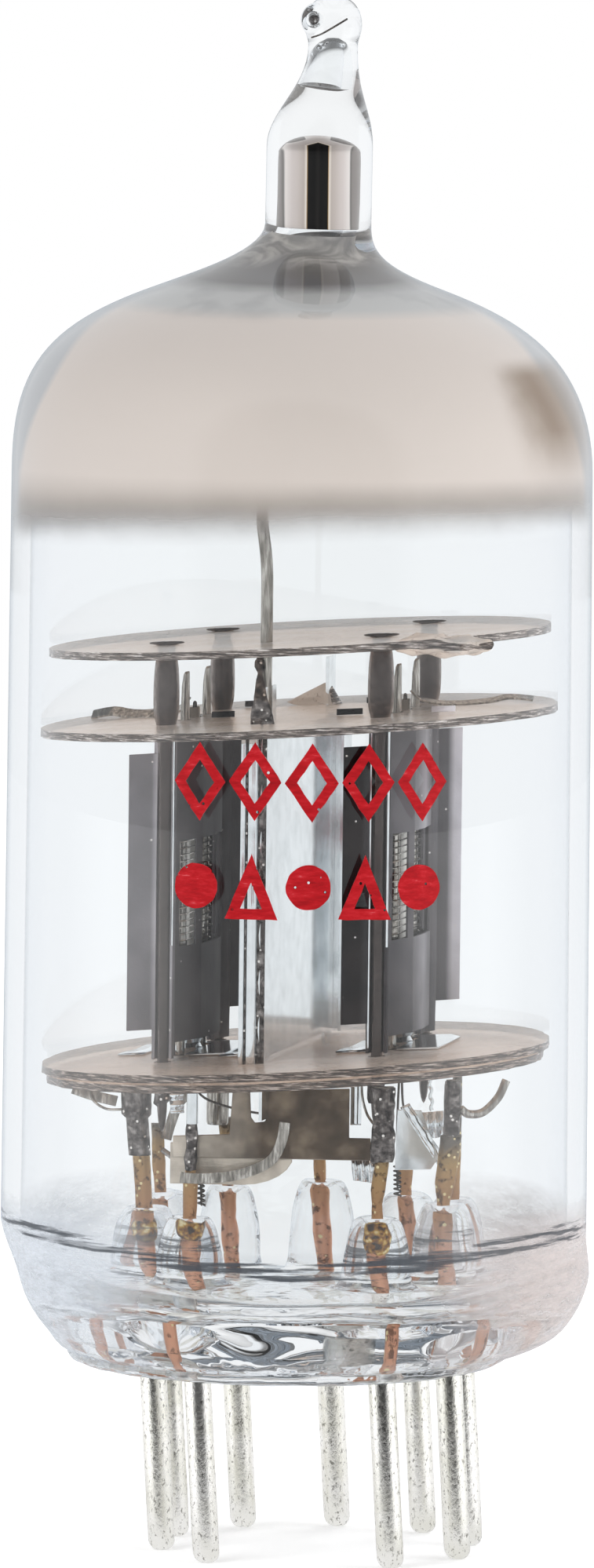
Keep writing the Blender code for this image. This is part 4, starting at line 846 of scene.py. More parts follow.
def glass_outside():
    """Outer profile of the glass, from the middle of its underside to the top of the drop."""
    seam = (SEAM_RADIUS, SEAT + 0.5 * MM)
    foot_end = (BULB_RADIUS - 0.2 * MM, SEAT + 3.9 * MM)
    shoulder_end = (SHOULDER_END_RADIUS, SHOULDER_END)
    neck_corner = (NECK_RADIUS, NECK_START - 1.15 * MM)
    middle = (DROP_RADIUS, DROP_START + 0.4 * (TUBE_TOP - DROP_START))
    flat = [(0.0, SEAT)] + [(STEM_FLAT_RADIUS * i / 12, SEAT) for i in range(1, 12)]
    side = [(foot_end[0] + (BULB_RADIUS - foot_end[0]) * i / 3,
             foot_end[1] + (STRAIGHT_START - foot_end[1]) * i / 3)
            for i in range(3)]
    straight = [(BULB_RADIUS + (SHOULDER_RADIUS - BULB_RADIUS) * i / 12,
                 STRAIGHT_START + (STRAIGHT_END - STRAIGHT_START) * i / 12) for i in range(12)]
    shoulder_corner = (SHOULDER_RADIUS, SHOULDER_END - 2.05 * MM)
    return (
        flat
        + rounded((STEM_FLAT_RADIUS, SEAT), (SEAM_RADIUS, SEAT), seam, 6)
        + rounded(seam, (BULB_RADIUS - 0.5 * MM, SEAT + 1.1 * MM), foot_end, 14)
        + side
        + straight
        + rounded((SHOULDER_RADIUS, STRAIGHT_END), shoulder_corner, shoulder_end, 24, (0.85, 0.63))
        + rounded(shoulder_end, neck_corner, (NECK_RADIUS, NECK_START), 14, (0.52, 0.96))
        + [(NECK_RADIUS, NECK_START + (NECK_END - NECK_START) * i / 4) for i in range(4)]
        + eased((NECK_RADIUS, NECK_END), (TIP_RADIUS, DROP_START), 16)
        + eased((TIP_RADIUS, DROP_START), middle, 5)
        + rounded(middle, (DROP_RADIUS, TUBE_TOP), (0.0, TUBE_TOP), 10)
        + [(0.0, TUBE_TOP)]
    )


def glass_inside():
    """Profile of the space in the bulb, from the top of the exhaust bore down to the stem's floor."""
    bore_top = NECK_END + 0.25 * MM
    inner_end = (SHOULDER_END_RADIUS - 0.5 * MM, SHOULDER_END - 0.9 * MM)
    inner_shoulder = SHOULDER_RADIUS - GLASS_WALL
    inner_foot = BULB_RADIUS - GLASS_WALL
    straight = [(inner_shoulder + (inner_foot - inner_shoulder) * i / 12,
                 STRAIGHT_END + (STRAIGHT_START - STRAIGHT_END) * i / 12) for i in range(12)]
    floor = [(SEAM_RADIUS * (12 - i) / 12, STEM_FLOOR) for i in range(13)]
    return (
        rounded((0.0, bore_top), (NECK_BORE, bore_top), (NECK_BORE, bore_top - 0.6 * MM), 10)
        + [(NECK_BORE, NECK_END - 0.6 * MM), (NECK_BORE, NECK_START + 0.8 * MM)]
        + rounded((NECK_BORE, NECK_START - 0.3 * MM), (NECK_BORE, NECK_START - 2.1 * MM), inner_end, 12,
                  (0.85, 0.63))
        + rounded(inner_end, (inner_shoulder - 0.1 * MM, SHOULDER_END - 2.6 * MM),
                  (inner_shoulder, STRAIGHT_END - 0.6 * MM), 24, (0.58, 0.75))
        + straight[1:]
        + rounded((inner_foot, STRAIGHT_START), (inner_foot, STEM_FLOOR), (SEAM_RADIUS, STEM_FLOOR), 12)
        + floor
    )


def pin_angle(number):
    """Where a pin stands on the pin circle."""
    return math.radians(FIRST_PIN_ANGLE + PIN_STEP * (number - 1))


def pin_place(number, height):
    """Centre of a pin or of its lead at a height: all of them lean to the right going down."""
    angle = pin_angle(number)
    lean = PIN_SHIFT - height * math.tan(math.radians(PIN_LEAN))
    return Vector((PIN_CIRCLE_RADIUS * math.cos(angle) + lean, PIN_CIRCLE_RADIUS * math.sin(angle), height))


def glass_bosses():
    """The nine domed bosses round the leads, each a little different."""
    chance = random.Random(9)
    shapes = []
    for number in range(1, PIN_COUNT + 1):
        angle = pin_angle(number)
        height = BOSS_TOP - STEM_FLOOR
        wide = BOSS_RADIUS * chance.uniform(0.9, 1.02)
        tall = height * chance.uniform(0.86, 1.0)
        root = (wide + 0.5 * MM, -0.5 * MM)
        waist = (wide, 0.35 * tall)
        profile = [(0.0, -0.5 * MM), root]
        profile += rounded((wide + 0.5 * MM, -0.1 * MM), (wide, 0.02 * tall), waist, 6)
        profile += rounded(waist, (0.92 * wide, tall), (0.5 * wide, tall), 12)
        profile += rounded((0.5 * wide, tall), (0.42 * wide, 0.9 * tall), (0.0, 0.86 * tall), 6)
        profile += [(0.0, 0.86 * tall)]
        boss = moved(spun(profile, 40), PIN_CIRCLE_RADIUS * math.cos(angle) + BOSS_SHIFT,
                     PIN_CIRCLE_RADIUS * math.sin(angle), STEM_FLOOR)
        shapes.append(crumpled(boss, 0.06 * MM, 0.9 * MM, number))
    return merged(shapes)


def tip_hollow():
    """The leaning air space that the drawn-off tip closed over."""
    rings = [(55.2, 0.0, 0.6), (55.22, 0.55, 0.6), (55.35, 0.8, 0.61), (55.8, 0.74, 0.7), (56.3, 0.63, 0.82),
             (56.8, 0.5, 0.92), (57.15, 0.34, 0.97), (57.35, 0.16, 0.98), (57.38, 0.0, 0.98)]
    shape = spun([(radius * MM, height * MM) for height, radius, _ in rings], 40)
    for vert in shape.verts:
        level = vert.co.z / MM
        for (low, _, start), (high, _, end) in zip(rings, rings[1:]):
            if low <= level <= high:
                vert.co.x += (start + (end - start) * (level - low) / (high - low)) * MM
                break
        vert.co.z -= 0.16 * (vert.co.x - 0.6 * MM) * max(0.0, 1.0 - (level - 55.2))
    return shape


def air_bubbles():
    """Small bubbles in the pressed base."""
    chance = random.Random(4)
    shapes = []
    for _ in range(70):
        angle = chance.uniform(0.0, 2.0 * math.pi)
        out = 9.6 * MM * math.sqrt(chance.uniform(0.2, 1.0))
        size = 0.035 * MM + 0.1 * MM * chance.random() ** 3
        bubble = ball(size, 2)
        stretch = Matrix.Rotation(angle, 4, "Z") @ Matrix.Diagonal((1.0, chance.uniform(1.0, 3.0), 0.8, 1.0))
        bmesh.ops.transform(bubble, matrix=stretch, verts=bubble.verts)
        high = SEAT + (0.5 + 1.7 * chance.random()) * MM
        out = min(out, 7.2 * MM) if high < SEAT + 0.9 * MM else out
        shapes.append(moved(bubble, out * math.cos(angle), out * math.sin(angle), high))
    return merged(shapes)


def build_envelope():
    """One fused piece of glass: bulb, shoulder, drawn-off tip and the pressed stem with its bosses."""
    outer = drawn_by_hand(spun(glass_outside(), 144))
    room = drawn_by_hand(spun(glass_inside(), 144))
    room = boolean(room, glass_bosses())
    for vert in outer.verts:
        sink = max(0.0, 1.0 - (vert.co.z - SEAT) / (1.4 * MM))
        near, far = noise.voronoi(vert.co / (1.7 * MM))[0][:2]
        vert.co.z += 0.1 * MM * sink * (min(far - near, 0.4) - 0.2)
    for vert in room.verts:
        low = max(0.0, 1.0 - (vert.co.z - STEM_FLOOR) / (2.0 * MM))
        out = vert.co.xy.length
        aside = max(0.0, min(1.0, (out - 6.6 * MM) / (1.5 * MM)))
        folds = aside * math.sin(2.0 * math.pi * out / (0.55 * MM))
        vert.co.z += low * (0.1 * MM * noise.noise(vert.co / (2.4 * MM)) + 0.035 * MM * folds)
    drop = moved(ball(0.68 * MM, 4), 0.43 * MM, -0.35 * MM, DROP_START + 0.95 * MM)
    outer = boolean(outer, drop, "UNION")
    speck = moved(ball(0.24 * MM, 3), *SPECK_PLACE)
    hollows = [room, tip_hollow(), air_bubbles(), speck]
    for hollow in hollows:
        bmesh.ops.reverse_faces(hollow, faces=hollow.faces)
    place_piece("glass_envelope", merged([outer, *hollows]), blown_glass,
                ["glass_bulb", "glass_stem"], 50.0)


def build_drop_marks():
    """The dark speck in the drop's bubble, and a dark wire for the dark line where the drop closed: painted
    shade.
    """
    speck = moved(ball(0.21 * MM, 3), *SPECK_PLACE)
    speck = crumpled(speck, 0.05 * MM, 0.15 * MM, 3)
    place_piece("drop_speck", speck, crimped_sleeve)
    fold = smooth_path([(0.16, -0.66, 57.28), (0.5, -0.84, 57.4), (0.95, -0.84, 57.66),
                        (1.45, -0.62, 57.98)])
    wire_piece("drop_shade_line", fold, 0.035 * MM, coated_heater, sides=1)


def build_getter_film():
    """The getter flash: a thin film on the inside of the dome, with its own film in the exhaust bore."""
    inside = [point for point in glass_inside() if point[1] > 36.0 * MM]
    bore = [point for point in inside if point[1] > NECK_START - 0.4 * MM]
    dome = [point for point in inside if point[1] <= NECK_START - 0.3 * MM and point[0] > 0.0]
    for name, path, make in (("getter_film", dome, getter_flash),
                             ("exhaust_bore_film", bore, mirrored_bore)):
        near, far = ([(max(radius + gap, 0.0), height + gap) for radius, height in path]
                     for gap in (FILM_GAP, 2 * FILM_GAP))
        place_piece(name, drawn_by_hand(spun(near + far[::-1], 96, closed=True)), make)


def build_pins():
    """Nine base pins of tinned wire, with their ends rounded by the cutter and a small burr."""
    for number in range(1, PIN_COUNT + 1):
        low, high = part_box(f"pin_{number}")
        radius = (high.y - low.y) / 2
        profile = [(0.0, low.z)]
        profile += rounded((0.25 * radius, low.z), (radius, low.z), (radius, low.z + 0.9 * radius), 7)
        profile += [(radius, low.z + (high.z - low.z) * share) for share in (0.12, 0.3, 0.5, 0.7, 0.9)]
        profile += [(radius, high.z), (0.0, high.z)]
        shape = spun(profile, 28)
        for vert in shape.verts:
            centre = pin_place(number, vert.co.z)
            rough = 1.0 + 0.03 * noise.noise(vert.co / (0.5 * MM) + Vector((number, 0.0, 0.0)))
            vert.co.x = vert.co.x * rough + centre.x
            vert.co.y = vert.co.y * rough + centre.y
        place_piece(f"base_pin_{number}", shape, tinned_wire, [f"pin_{number}"])


def led_stops(number, stops):
    """Turn a lead's own columns into places, with its root down in the glass added."""
    rows = []
    for level, right, back, wide, deep in stops:
        centre = pin_place(number, level * MM) / MM
        rows.append((level, centre.x + right, centre.y + back, wide, deep))
    return rows


def build_leads():
    """Nine copper clad leads from the glass to the cage, with their sleeves and beads of seal glass."""
    for number, stops in LEAD_STOPS.items():
        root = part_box(f"lead_{number}")[0].z / MM
        rows = led_stops(number, [(root, 0.0, 0.0, 0.22, 0.22), (root + 3.4, 0.0, 0.0, 0.22, 0.22), *stops])
        place_piece(f"inner_lead_{number}", spindle(rows, 0.02, number), copper_clad_wire,
                    [f"lead_{number}"])
    for name, number, dented, stops in LEAD_SLEEVES:
        place_piece(name, spindle(led_stops(number, stops), dented, number), crimped_sleeve)
    clip = [(16.6, 0.31, 0.0, 0.22, 0.19), (17.85, 0.39, 0.0, 0.21, 0.18)]
    place_piece("lead_9_clip", spindle(led_stops(9, clip), 0.01, 5), bright_nickel)
    for number, level, right, radius, half in LEAD_BEADS:
        bead = ball(MM, 4)
        bmesh.ops.scale(bead, vec=(radius, radius, half), verts=bead.verts)
        centre = pin_place(number, level * MM)
        bead = crumpled(moved(bead, centre.x + right * MM, centre.y, centre.z), 0.05 * MM, 0.3 * MM, number)
        place_piece(f"lead_{number}_bead", bead, bead_glass)


def soft_copy(node, ending, make, levels):
    """A solid's own shape as a piece, rounded off."""
    softened(place_piece(node + ending, copy_of(node), make, [node]), levels)


def sheet_copy(node, ending, make, width):
    """A solid's own shape as a sheet with worked edges."""
    edged(place_piece(node + ending, copy_of(node), make, [node], SHEET_ANGLE), width * MM)


def build_posts_and_rods():
    """Anode posts, grid rods and cathode sleeves, as drawn, squashed and rolled."""
    low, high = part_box("upper_mica")[0].z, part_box("top_mica")[1].z
    for side in SIDES:
        for end in ENDS:
            node = f"{side}_{end}_post"
            shape = copy_of(node)
            centre = middle_of(node)
            for vert in shape.verts:
                if low < vert.co.z < high and (vert.co - centre).xy.length > 0.29 * MM:
                    vert.co.x = centre.x + (vert.co.x - centre.x) * 1.25
                    vert.co.y = centre.y + (vert.co.y - centre.y) * 1.25
            softened(place_piece(node + "_wire", shape, browned_post, [node]), 2)
            node = f"{side}_{end}_grid_rod"
            soft_copy(node, "_wire", drawn_nickel, 1)
        soft_copy(f"{side}_cathode", "_sleeve", oxide_coated_cathode, 1)


def build_anodes():
    """Four carbonised anode halves with folded wings, and the bare edges of their seams."""
    for side in SIDES:
        for half in ("outer", "inner"):
            sheet_copy(f"{side}_anode_{half}", "_sheet", carbonised_nickel, 0.02)
    left, right = middle_of("left_front_post") / MM, middle_of("right_front_post") / MM
    edges = [("left_bare_edge", left.x + 0.31, left.y - 0.27, 23.2, 31.3),
             ("right_bare_edge", right.x + 0.31, right.y - 0.27, 23.4, 31.8),
             ("right_worn_edge", right.x - 0.33, right.y - 0.22, 19.6, 31.6)]
    for name, x, y, low, high in edges:
        path = [Vector((x, y, low + (high - low) * i / 24)) * MM for i in range(25)]
        wire_piece(name, path, 0.05 * MM, bright_nickel, sides=1)


def cage_axes():
    """The cage's own right and back directions, seen from above."""
    right = Vector((math.cos(CAGE_TURN), math.sin(CAGE_TURN), 0.0))
    return right, Vector((-right.y, right.x, 0.0))


def middle_of(node):
    """Middle of a solid's box."""
    low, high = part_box(node)
    return (low + high) / 2


def wire_piece(name, points, radius, make, nodes=(), sides=2):
    """A round wire along a list of points, as a mesh."""
    curve = bpy.data.curves.new(name, "CURVE")
    curve.dimensions = "3D"
    curve.bevel_depth = radius
    curve.bevel_resolution = sides
    curve.use_fill_caps = True
    spline = curve.splines.new("POLY")
    spline.points.add(len(points) - 1)
    for spot, point in zip(spline.points, points):
        spot.co = (*point, 1.0)
    guide = bpy.data.objects.new(name + "_guide", curve)
    bpy.context.scene.collection.objects.link(guide)
    mesh = bpy.data.meshes.new_from_object(guide)
    bpy.data.objects.remove(guide)
    bpy.data.curves.remove(curve)
    shape = bmesh.new()
    shape.from_mesh(mesh)
    bpy.data.meshes.remove(mesh)
    bmesh.ops.remove_doubles(shape, verts=shape.verts, dist=MERGE_DISTANCE)
    bmesh.ops.recalc_face_normals(shape, faces=shape.faces)
    return place_piece(name, shape, make, nodes)


def build_grids(pitch, radius):
    """The grid windings: a fine wire wound round both rods of each triode."""
    right, back = cage_axes()
    for side in SIDES:
        node = f"{side}_grid_winding"
        low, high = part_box(node)
        front, rear = middle_of(f"{side}_front_grid_rod"), middle_of(f"{side}_rear_grid_rod")
        middle = (front + rear) / 2
        reach = (rear - front).xy.length / 2
        half = 0.315 * MM
        lean = abs(low.x - high.x) * CAGE_RACK
        turns = int((high.z - low.z - lean) / pitch)
        points = []
        for turn in range(turns):
            for i, degrees in enumerate((0, 45, 90, 135, 180, 180, 225, 270, 315)):
                angle = math.radians(degrees)
                out = half * math.cos(angle)
                along = (reach if i <= 4 else -reach) + half * math.sin(angle)
                spot = middle.xy.to_3d() + right * out + back * along
                spot.z = low.z + lean / 2 + (turn + i / 9) * pitch + (spot.x - middle.x) * CAGE_RACK
                points.append(spot)
        wire_piece(f"{side}_grid_wire", points, radius, drawn_nickel, [node], sides=1)


def mica_disc(node, holes, seed):
    """A split mica disc with a ragged rim, punched like its solid."""
    low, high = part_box(node)
    radius = (high.y - low.y) / 2
    thickness = 0.3 * MM
    floor = (low.z + high.z - thickness) / 2
    shape = bmesh.new()
    bmesh.ops.create_circle(shape, cap_ends=True, segments=220, radius=radius)
    raised(shape, thickness)
    for vert in shape.verts:
        at = Vector((vert.co.x, vert.co.y, vert.co.z * 3.0 + seed * MM)) / (0.9 * MM)
        fine = Vector((vert.co.x, vert.co.y, vert.co.z * 5.0 + seed * MM)) / (0.3 * MM)
        pull = 1.0 - 0.012 * abs(noise.noise(at)) - 0.006 * abs(noise.noise(fine))
        vert.co.x *= pull
        vert.co.y *= pull
    cutters = []
    for x, y, half_wide, half_deep in holes:
        hole = bmesh.new()
        bmesh.ops.create_cone(hole, cap_ends=True, segments=20, radius1=1.0, radius2=1.0, depth=4.0 * MM)
        turn = Matrix.Rotation(CAGE_TURN, 4, "Z") @ Matrix.Diagonal((half_wide, half_deep, 1.0, 1.0))
        bmesh.ops.transform(hole, matrix=turn, verts=hole.verts)
        cutters.append(moved(hole, x, y, 0.0))
    shape = boolean(shape, merged(cutters))
    for vert in shape.verts:
        vert.co.z += floor + vert.co.x * CAGE_RACK
    place_piece(node + "_disc", shape, split_mica, [node], SHEET_ANGLE)


def build_micas():
    """The four mica discs that hold the cage."""
    def holes(nodes, wide, deep):
        return [(*middle_of(node).xy, wide * MM, deep * MM) for node in nodes]

    corners = [f"{side}_{end}" for side in SIDES for end in ENDS]
    post_holes = holes([corner + "_post" for corner in corners], 0.33, 0.33)
    inner_holes = holes([corner + "_grid_rod" for corner in corners], 0.3, 0.3)
    inner_holes += holes(["left_cathode", "right_cathode"], 0.27, 0.54)
    mica_disc("top_mica", post_holes, 1)
    for seed, node in enumerate(("upper_mica", "bottom_mica", "lowest_mica"), 2):
        mica_disc(node, post_holes + inner_holes, seed)


def build_shield():
    """The bright folded shield between the triodes."""
    sheet_copy("centre_shield", "_sheet", bright_nickel, 0.02)


def build_getter_support():
    """The getter's support wire and its ring behind the mirror."""
    wire = place_piece("getter_support", copy_of("getter_wire"), drawn_nickel, ["getter_wire"])
    softened(wire, 2)
    ring = place_piece("getter_channel", copy_of("getter_ring"), drawn_nickel, ["getter_ring"])
    edged(ring, 0.03 * MM)


def build_straps():
    """Welded straps and ribbons below the cage, and those on the upper mica."""
    for node in ("heater_strap", "heater_channel"):
        sheet_copy(node, "_sheet", stained_nickel, 0.03)
    node = "right_sheet_strap"
    edged(place_piece("right_sheet", copy_of(node), bright_nickel, [node], SHEET_ANGLE), 0.02 * MM)
    for node in ("centre_tap_ribbon", "left_plate_ribbon", "left_grid_ribbon", "left_cathode_ribbon",
                 "right_cathode_ribbon"):
        sheet_copy(node, "_strip", drawn_nickel, 0.015)
    thick = smooth_path([(7.9, -1.99, 18.15), (7.6, -2.09, 17.5), (7.04, -2.29, 16.96), (6.5, -2.45, 16.9),
                         (6.2, -2.54, 17.1)])
    wire_piece("right_plate_ribbon_wire", thick, 0.16 * MM, drawn_nickel, ["right_plate_ribbon"],
               sides=4)
    for side in SIDES:
        sheet_copy(f"{side}_base_plate", "_sheet", bright_nickel, 0.02)


def on_mica(x, y, floor):
    """A place on top of a mica disc, which rises to the right."""
    return Vector((x, y, floor + x * CAGE_RACK))


def build_weldments():
    """Ferrule, clumps, tabs, wires, coils and foils, under the cage or on its bottom mica."""
    ferrule = [(15.65, 0.4), (15.75, 0.44), (18.2, 0.44)]
    clump = [(17.15, 0.16), (17.3, 0.3), (17.55, 0.26), (17.7, 0.34), (18.1, 0.3)]
    stub = [(17.5, 0.26), (17.7, 0.32), (18.4, 0.32)]
    for post, ending, make, rows, dented, seed, sides in (
            ("left_rear", "_ferrule", drawn_nickel, ferrule, 0.01, 3, 32),
            ("left_front", "_clump", crimped_sleeve, clump, 0.12, 7, 24),
            ("right_front", "_stub", crimped_sleeve, stub, 0.06, 8, 24)):
        spot = middle_of(post + "_post") / MM
        shape = spindle([(z, spot.x, spot.y, r, r) for z, r in rows], dented, seed, sides)
        place_piece(post + ending, shape, make)
    tabs = [
        ("left_front_tab", (-4.75, -3.0, 18.2), (0.5, 0.15, 0.03), (0.12, -0.1, -1.35), 0.05),
        ("centre_front_tab", (2.07, -4.1, 18.4), (0.4, 0.0, 0.0), (0.0, 0.0, -1.8), 0.0),
        ("right_diagonal_tab", (3.95, -2.4, 17.1), (0.34, 0.1, 0.16), (1.45, 0.3, -2.2), 0.03),
        ("right_ribbed_sheet", (4.55, -0.9, 16.75), (0.1, 0.0, -1.0), (1.05, 0.1, 0.1), 0.07),
        ("front_ribbed_sheet", (2.1, -3.95, 15.5), (0.12, 0.0, -1.0), (1.0, -0.1, -0.12), 0.05),
        ("right_rear_tab", (5.0, -1.5, 18.4), (0.1, 0.5, 0.0), (0.12, 0.0, -1.5), 0.04),
    ]
    for name, corner, across, along, ripple in tabs:
        shape = sheet_shape(corner, across, along, 24, ripple, 3.5)
        thickened(place_piece(name, shape, bright_nickel), 0.05 * MM)
    wires = [
        ("front_hook_wire", [(2.46, -4.3, 18.4), (2.5, -4.35, 17.7), (2.66, -4.5, 17.1),
                             (2.9, -4.95, 16.75)], 0.05),
        ("left_loop_wire", [(-7.75, -0.9, 17.55), (-7.6, -1.0, 17.1), (-7.1, -1.1, 16.8),
                            (-6.45, -1.05, 16.78)], 0.05),
        ("left_tab_wire", [(-5.1, 2.5, 14.9), (-4.8, 2.45, 14.7), (-4.7, 2.4, 14.62)], 0.11),
    ]
    for name, points, radius in wires:
        wire_piece(name, smooth_path(points), radius * MM, drawn_nickel)
    for side, foot, head in (("left", (-3.45, -3.15, 13.45), (-3.5, -3.1, 14.4)),
                             ("right", (3.95, 0.6, 13.45), (3.92, 0.5, 14.6))):
        coil = coil_path(foot, head, 0.13, 0.17)
        wire_piece(side + "_heater_coil", coil, 0.035 * MM, coated_heater, sides=1)
    right, back = cage_axes()
    for name, x, y, wide, deep in (("left_floor_tab", -6.75, 0.2, 1.0, 4.6),
                                   ("centre_floor_tab", 1.5, -3.2, 1.2, 5.2),
                                   ("left_inner_floor_tab", -2.9, -2.4, 1.1, 4.4)):
        corner = on_mica(x, y, MICA_FLOOR + 0.05)
        shape = sheet_shape(corner, right * wide + Vector((0.0, 0.0, wide * CAGE_RACK)), back * deep, 12,
                            0.02, 1.5)
        thickened(place_piece(name, shape, bright_nickel), 0.06 * MM)
    for side in SIDES:
        spot = middle_of(side + "_cathode") / MM
        foot = MICA_FLOOR + spot.x * CAGE_RACK + 0.02
        rows = [(foot + 0.16 * i, spot.x, spot.y, 0.34 + 0.09 * (i % 2),
                 0.55 + 0.08 * (i % 2)) for i in range(7)]
        place_piece(side + "_foil", spindle(rows, 0.07, 11), bright_nickel)


def build_upper_details():
    """Pieces over the cage: the hem of the shield with its painted shade, tab tips, a lifted mica flake and
    the getter's clip.
    """
    # The hem's dark groove and dark strip are dark sheets that stand for shade: painted shade
    hem = [("hem_outer_bar", -2.12, 0.17, -5.62, bright_nickel, 31.25),
           ("hem_shade_line", -1.95, 0.12, -5.56, crimped_sleeve, 31.25),
           ("hem_inner_bar", -1.84, 0.32, -5.66, bright_nickel, 31.25),
           ("hem_shade_strip", -1.49, 0.32, -5.6, crimped_sleeve, 31.2)]
    for name, x, wide, y, make, top in hem:
        low = MICA_FLOOR + x * CAGE_RACK
        shape = sheet_shape((x, y, low), (wide, 0.0, 0.0), (0.0, 0.0, top - low), 40, 0.012, 7.0)
        thickened(place_piece(name, shape, make), 0.1 * MM)
    tips = [(-3.3, -0.5, 0.85), (-2.1, 5.3, 0.3), (1.4, -2.8, 0.95), (2.6, 3.6, 0.4), (4.9, -4.0, 0.85)]
    for i, (x, y, wide) in enumerate(tips):
        corner = on_mica(x, y, 31.83)
        shape = sheet_shape(corner, (wide, -0.2 * wide, wide * CAGE_RACK), (0.0, 0.05, 0.22), 3, 0.01, 1.0)
        thickened(place_piece(f"anode_tab_tip_{i + 1}", shape, carbonised_nickel), 0.12 * MM)
    flake = bmesh.new()
    bmesh.ops.create_cone(flake, cap_ends=True, segments=36, radius1=1.05 * MM, radius2=0.12 * MM,
                          depth=0.8 * MM)
    for vert in flake.verts:
        vert.co.x += 0.45 * MM * (vert.co.z > 0.0)
    flake = crumpled(moved(flake, 0.6 * MM, 4.8 * MM, 32.3 * MM), 0.1 * MM, 0.8 * MM, 4)
    place_piece("lifted_mica_flake", flake, split_mica)
    lug = ball(MM, 4)
    bmesh.ops.scale(lug, vec=(1.9, 0.9, 0.42), verts=lug.verts)
    lug = crumpled(moved(lug, 5.1 * MM, -7.6 * MM, 34.85 * MM), 0.22 * MM, 0.6 * MM, 2)
    place_piece("hanging_mica_flake", lug, split_mica)
    clip = [(31.72, -1.35, -5.75, 0.45, 0.1), (32.0, -1.38, -5.75, 0.42, 0.1),
            (32.6, -1.42, -5.7, 0.27, 0.1), (33.2, -1.46, -5.4, 0.16, 0.1),
            (33.6, -1.47, -5.1, 0.11, 0.1), (33.8, -1.48, -4.95, 0.2, 0.15),
            (34.0, -1.49, -4.85, 0.19, 0.15), (34.15, -1.49, -4.75, 0.1, 0.1)]
    place_piece("getter_clip", spindle(clip, 0.04, 6), crimped_sleeve)


def build_heaters():
    """Coated heater wires, folded in the cathodes."""
    for side in SIDES:
        soft_copy(f"{side}_heater", "_wire", coated_heater, 1)


def flat_shape(kind, width, height):
    """One mark of the print, flat: its outline in the plane of x (across) and y (up)."""
    shape = bmesh.new()
    if kind == "lozenge":
        corners = [(0.0, -height / 2), (width / 2, 0.0), (0.0, height / 2), (-width / 2, 0.0)]
        shape.faces.new([shape.verts.new((x, y, 0.0)) for x, y in corners])
    elif kind == "dot":
        bmesh.ops.create_circle(shape, cap_ends=True, segments=48, radius=0.42 * width)
    else:
        corners = [(-width / 2, -height / 2), (width / 2, -height / 2), (0.0, height / 2)]
        shape.faces.new([shape.verts.new((x, y, 0.0)) for x, y in corners])
    return shape


def wrapped_print(kinds, left, right, level, height, stroke, seed):
    """A row of plain marks, stamped round the bulb."""
    chance = random.Random(seed)
    marks = []
    step = (right - left) / len(kinds)
    for i, kind in enumerate(kinds):
        wide = 0.94 * step
        mark = flat_shape(kind, wide, height)
        mark.normal_update()
        if kind != "dot":
            rim = bmesh.ops.inset_region(mark, faces=list(mark.faces), thickness=stroke, use_boundary=True,
                                         use_even_offset=True)["faces"]
            bmesh.ops.delete(mark, geom=[face for face in mark.faces if face not in rim], context="FACES")
        bmesh.ops.triangulate(mark, faces=mark.faces)
        bmesh.ops.subdivide_edges(mark, edges=mark.edges, cuts=5, use_grid_fill=True)
        raised(mark, 0.04 * MM)
        marks.append(moved(mark, left + (i + 0.5) * step, level + chance.uniform(-0.06, 0.06) * MM, 0.0))
    whole = merged(marks)
    for vert in whole.verts:
        across, up, out = vert.co
        ragged = noise.noise_vector(Vector((across, up, seed * MM)) / (0.35 * MM)) * 0.03 * MM
        share = (up - STRAIGHT_START) / (STRAIGHT_END - STRAIGHT_START)
        radius = BULB_RADIUS + (SHOULDER_RADIUS - BULB_RADIUS) * share - 0.01 * MM + out
        angle = (across + ragged.x) / BULB_RADIUS
        vert.co = Vector((radius * math.sin(angle), -radius * math.cos(angle), up + ragged.y))
    return whole


def build_print(stroke):
    """Plain red ornament where the maker's marking would be."""
    upper = wrapped_print(["lozenge"] * 5, -4.8 * MM, 5.8 * MM, 29.9 * MM, 2.9 * MM, stroke, 3)
    kinds = ["dot", "triangle", "dot", "triangle", "dot"]
    lower = wrapped_print(kinds, -4.9 * MM, 5.7 * MM, 26.0 * MM, 2.4 * MM, 1.1 * stroke, 5)
    place_piece("enamel_ornament", merged([upper, lower]), fired_enamel, (), 40.0)


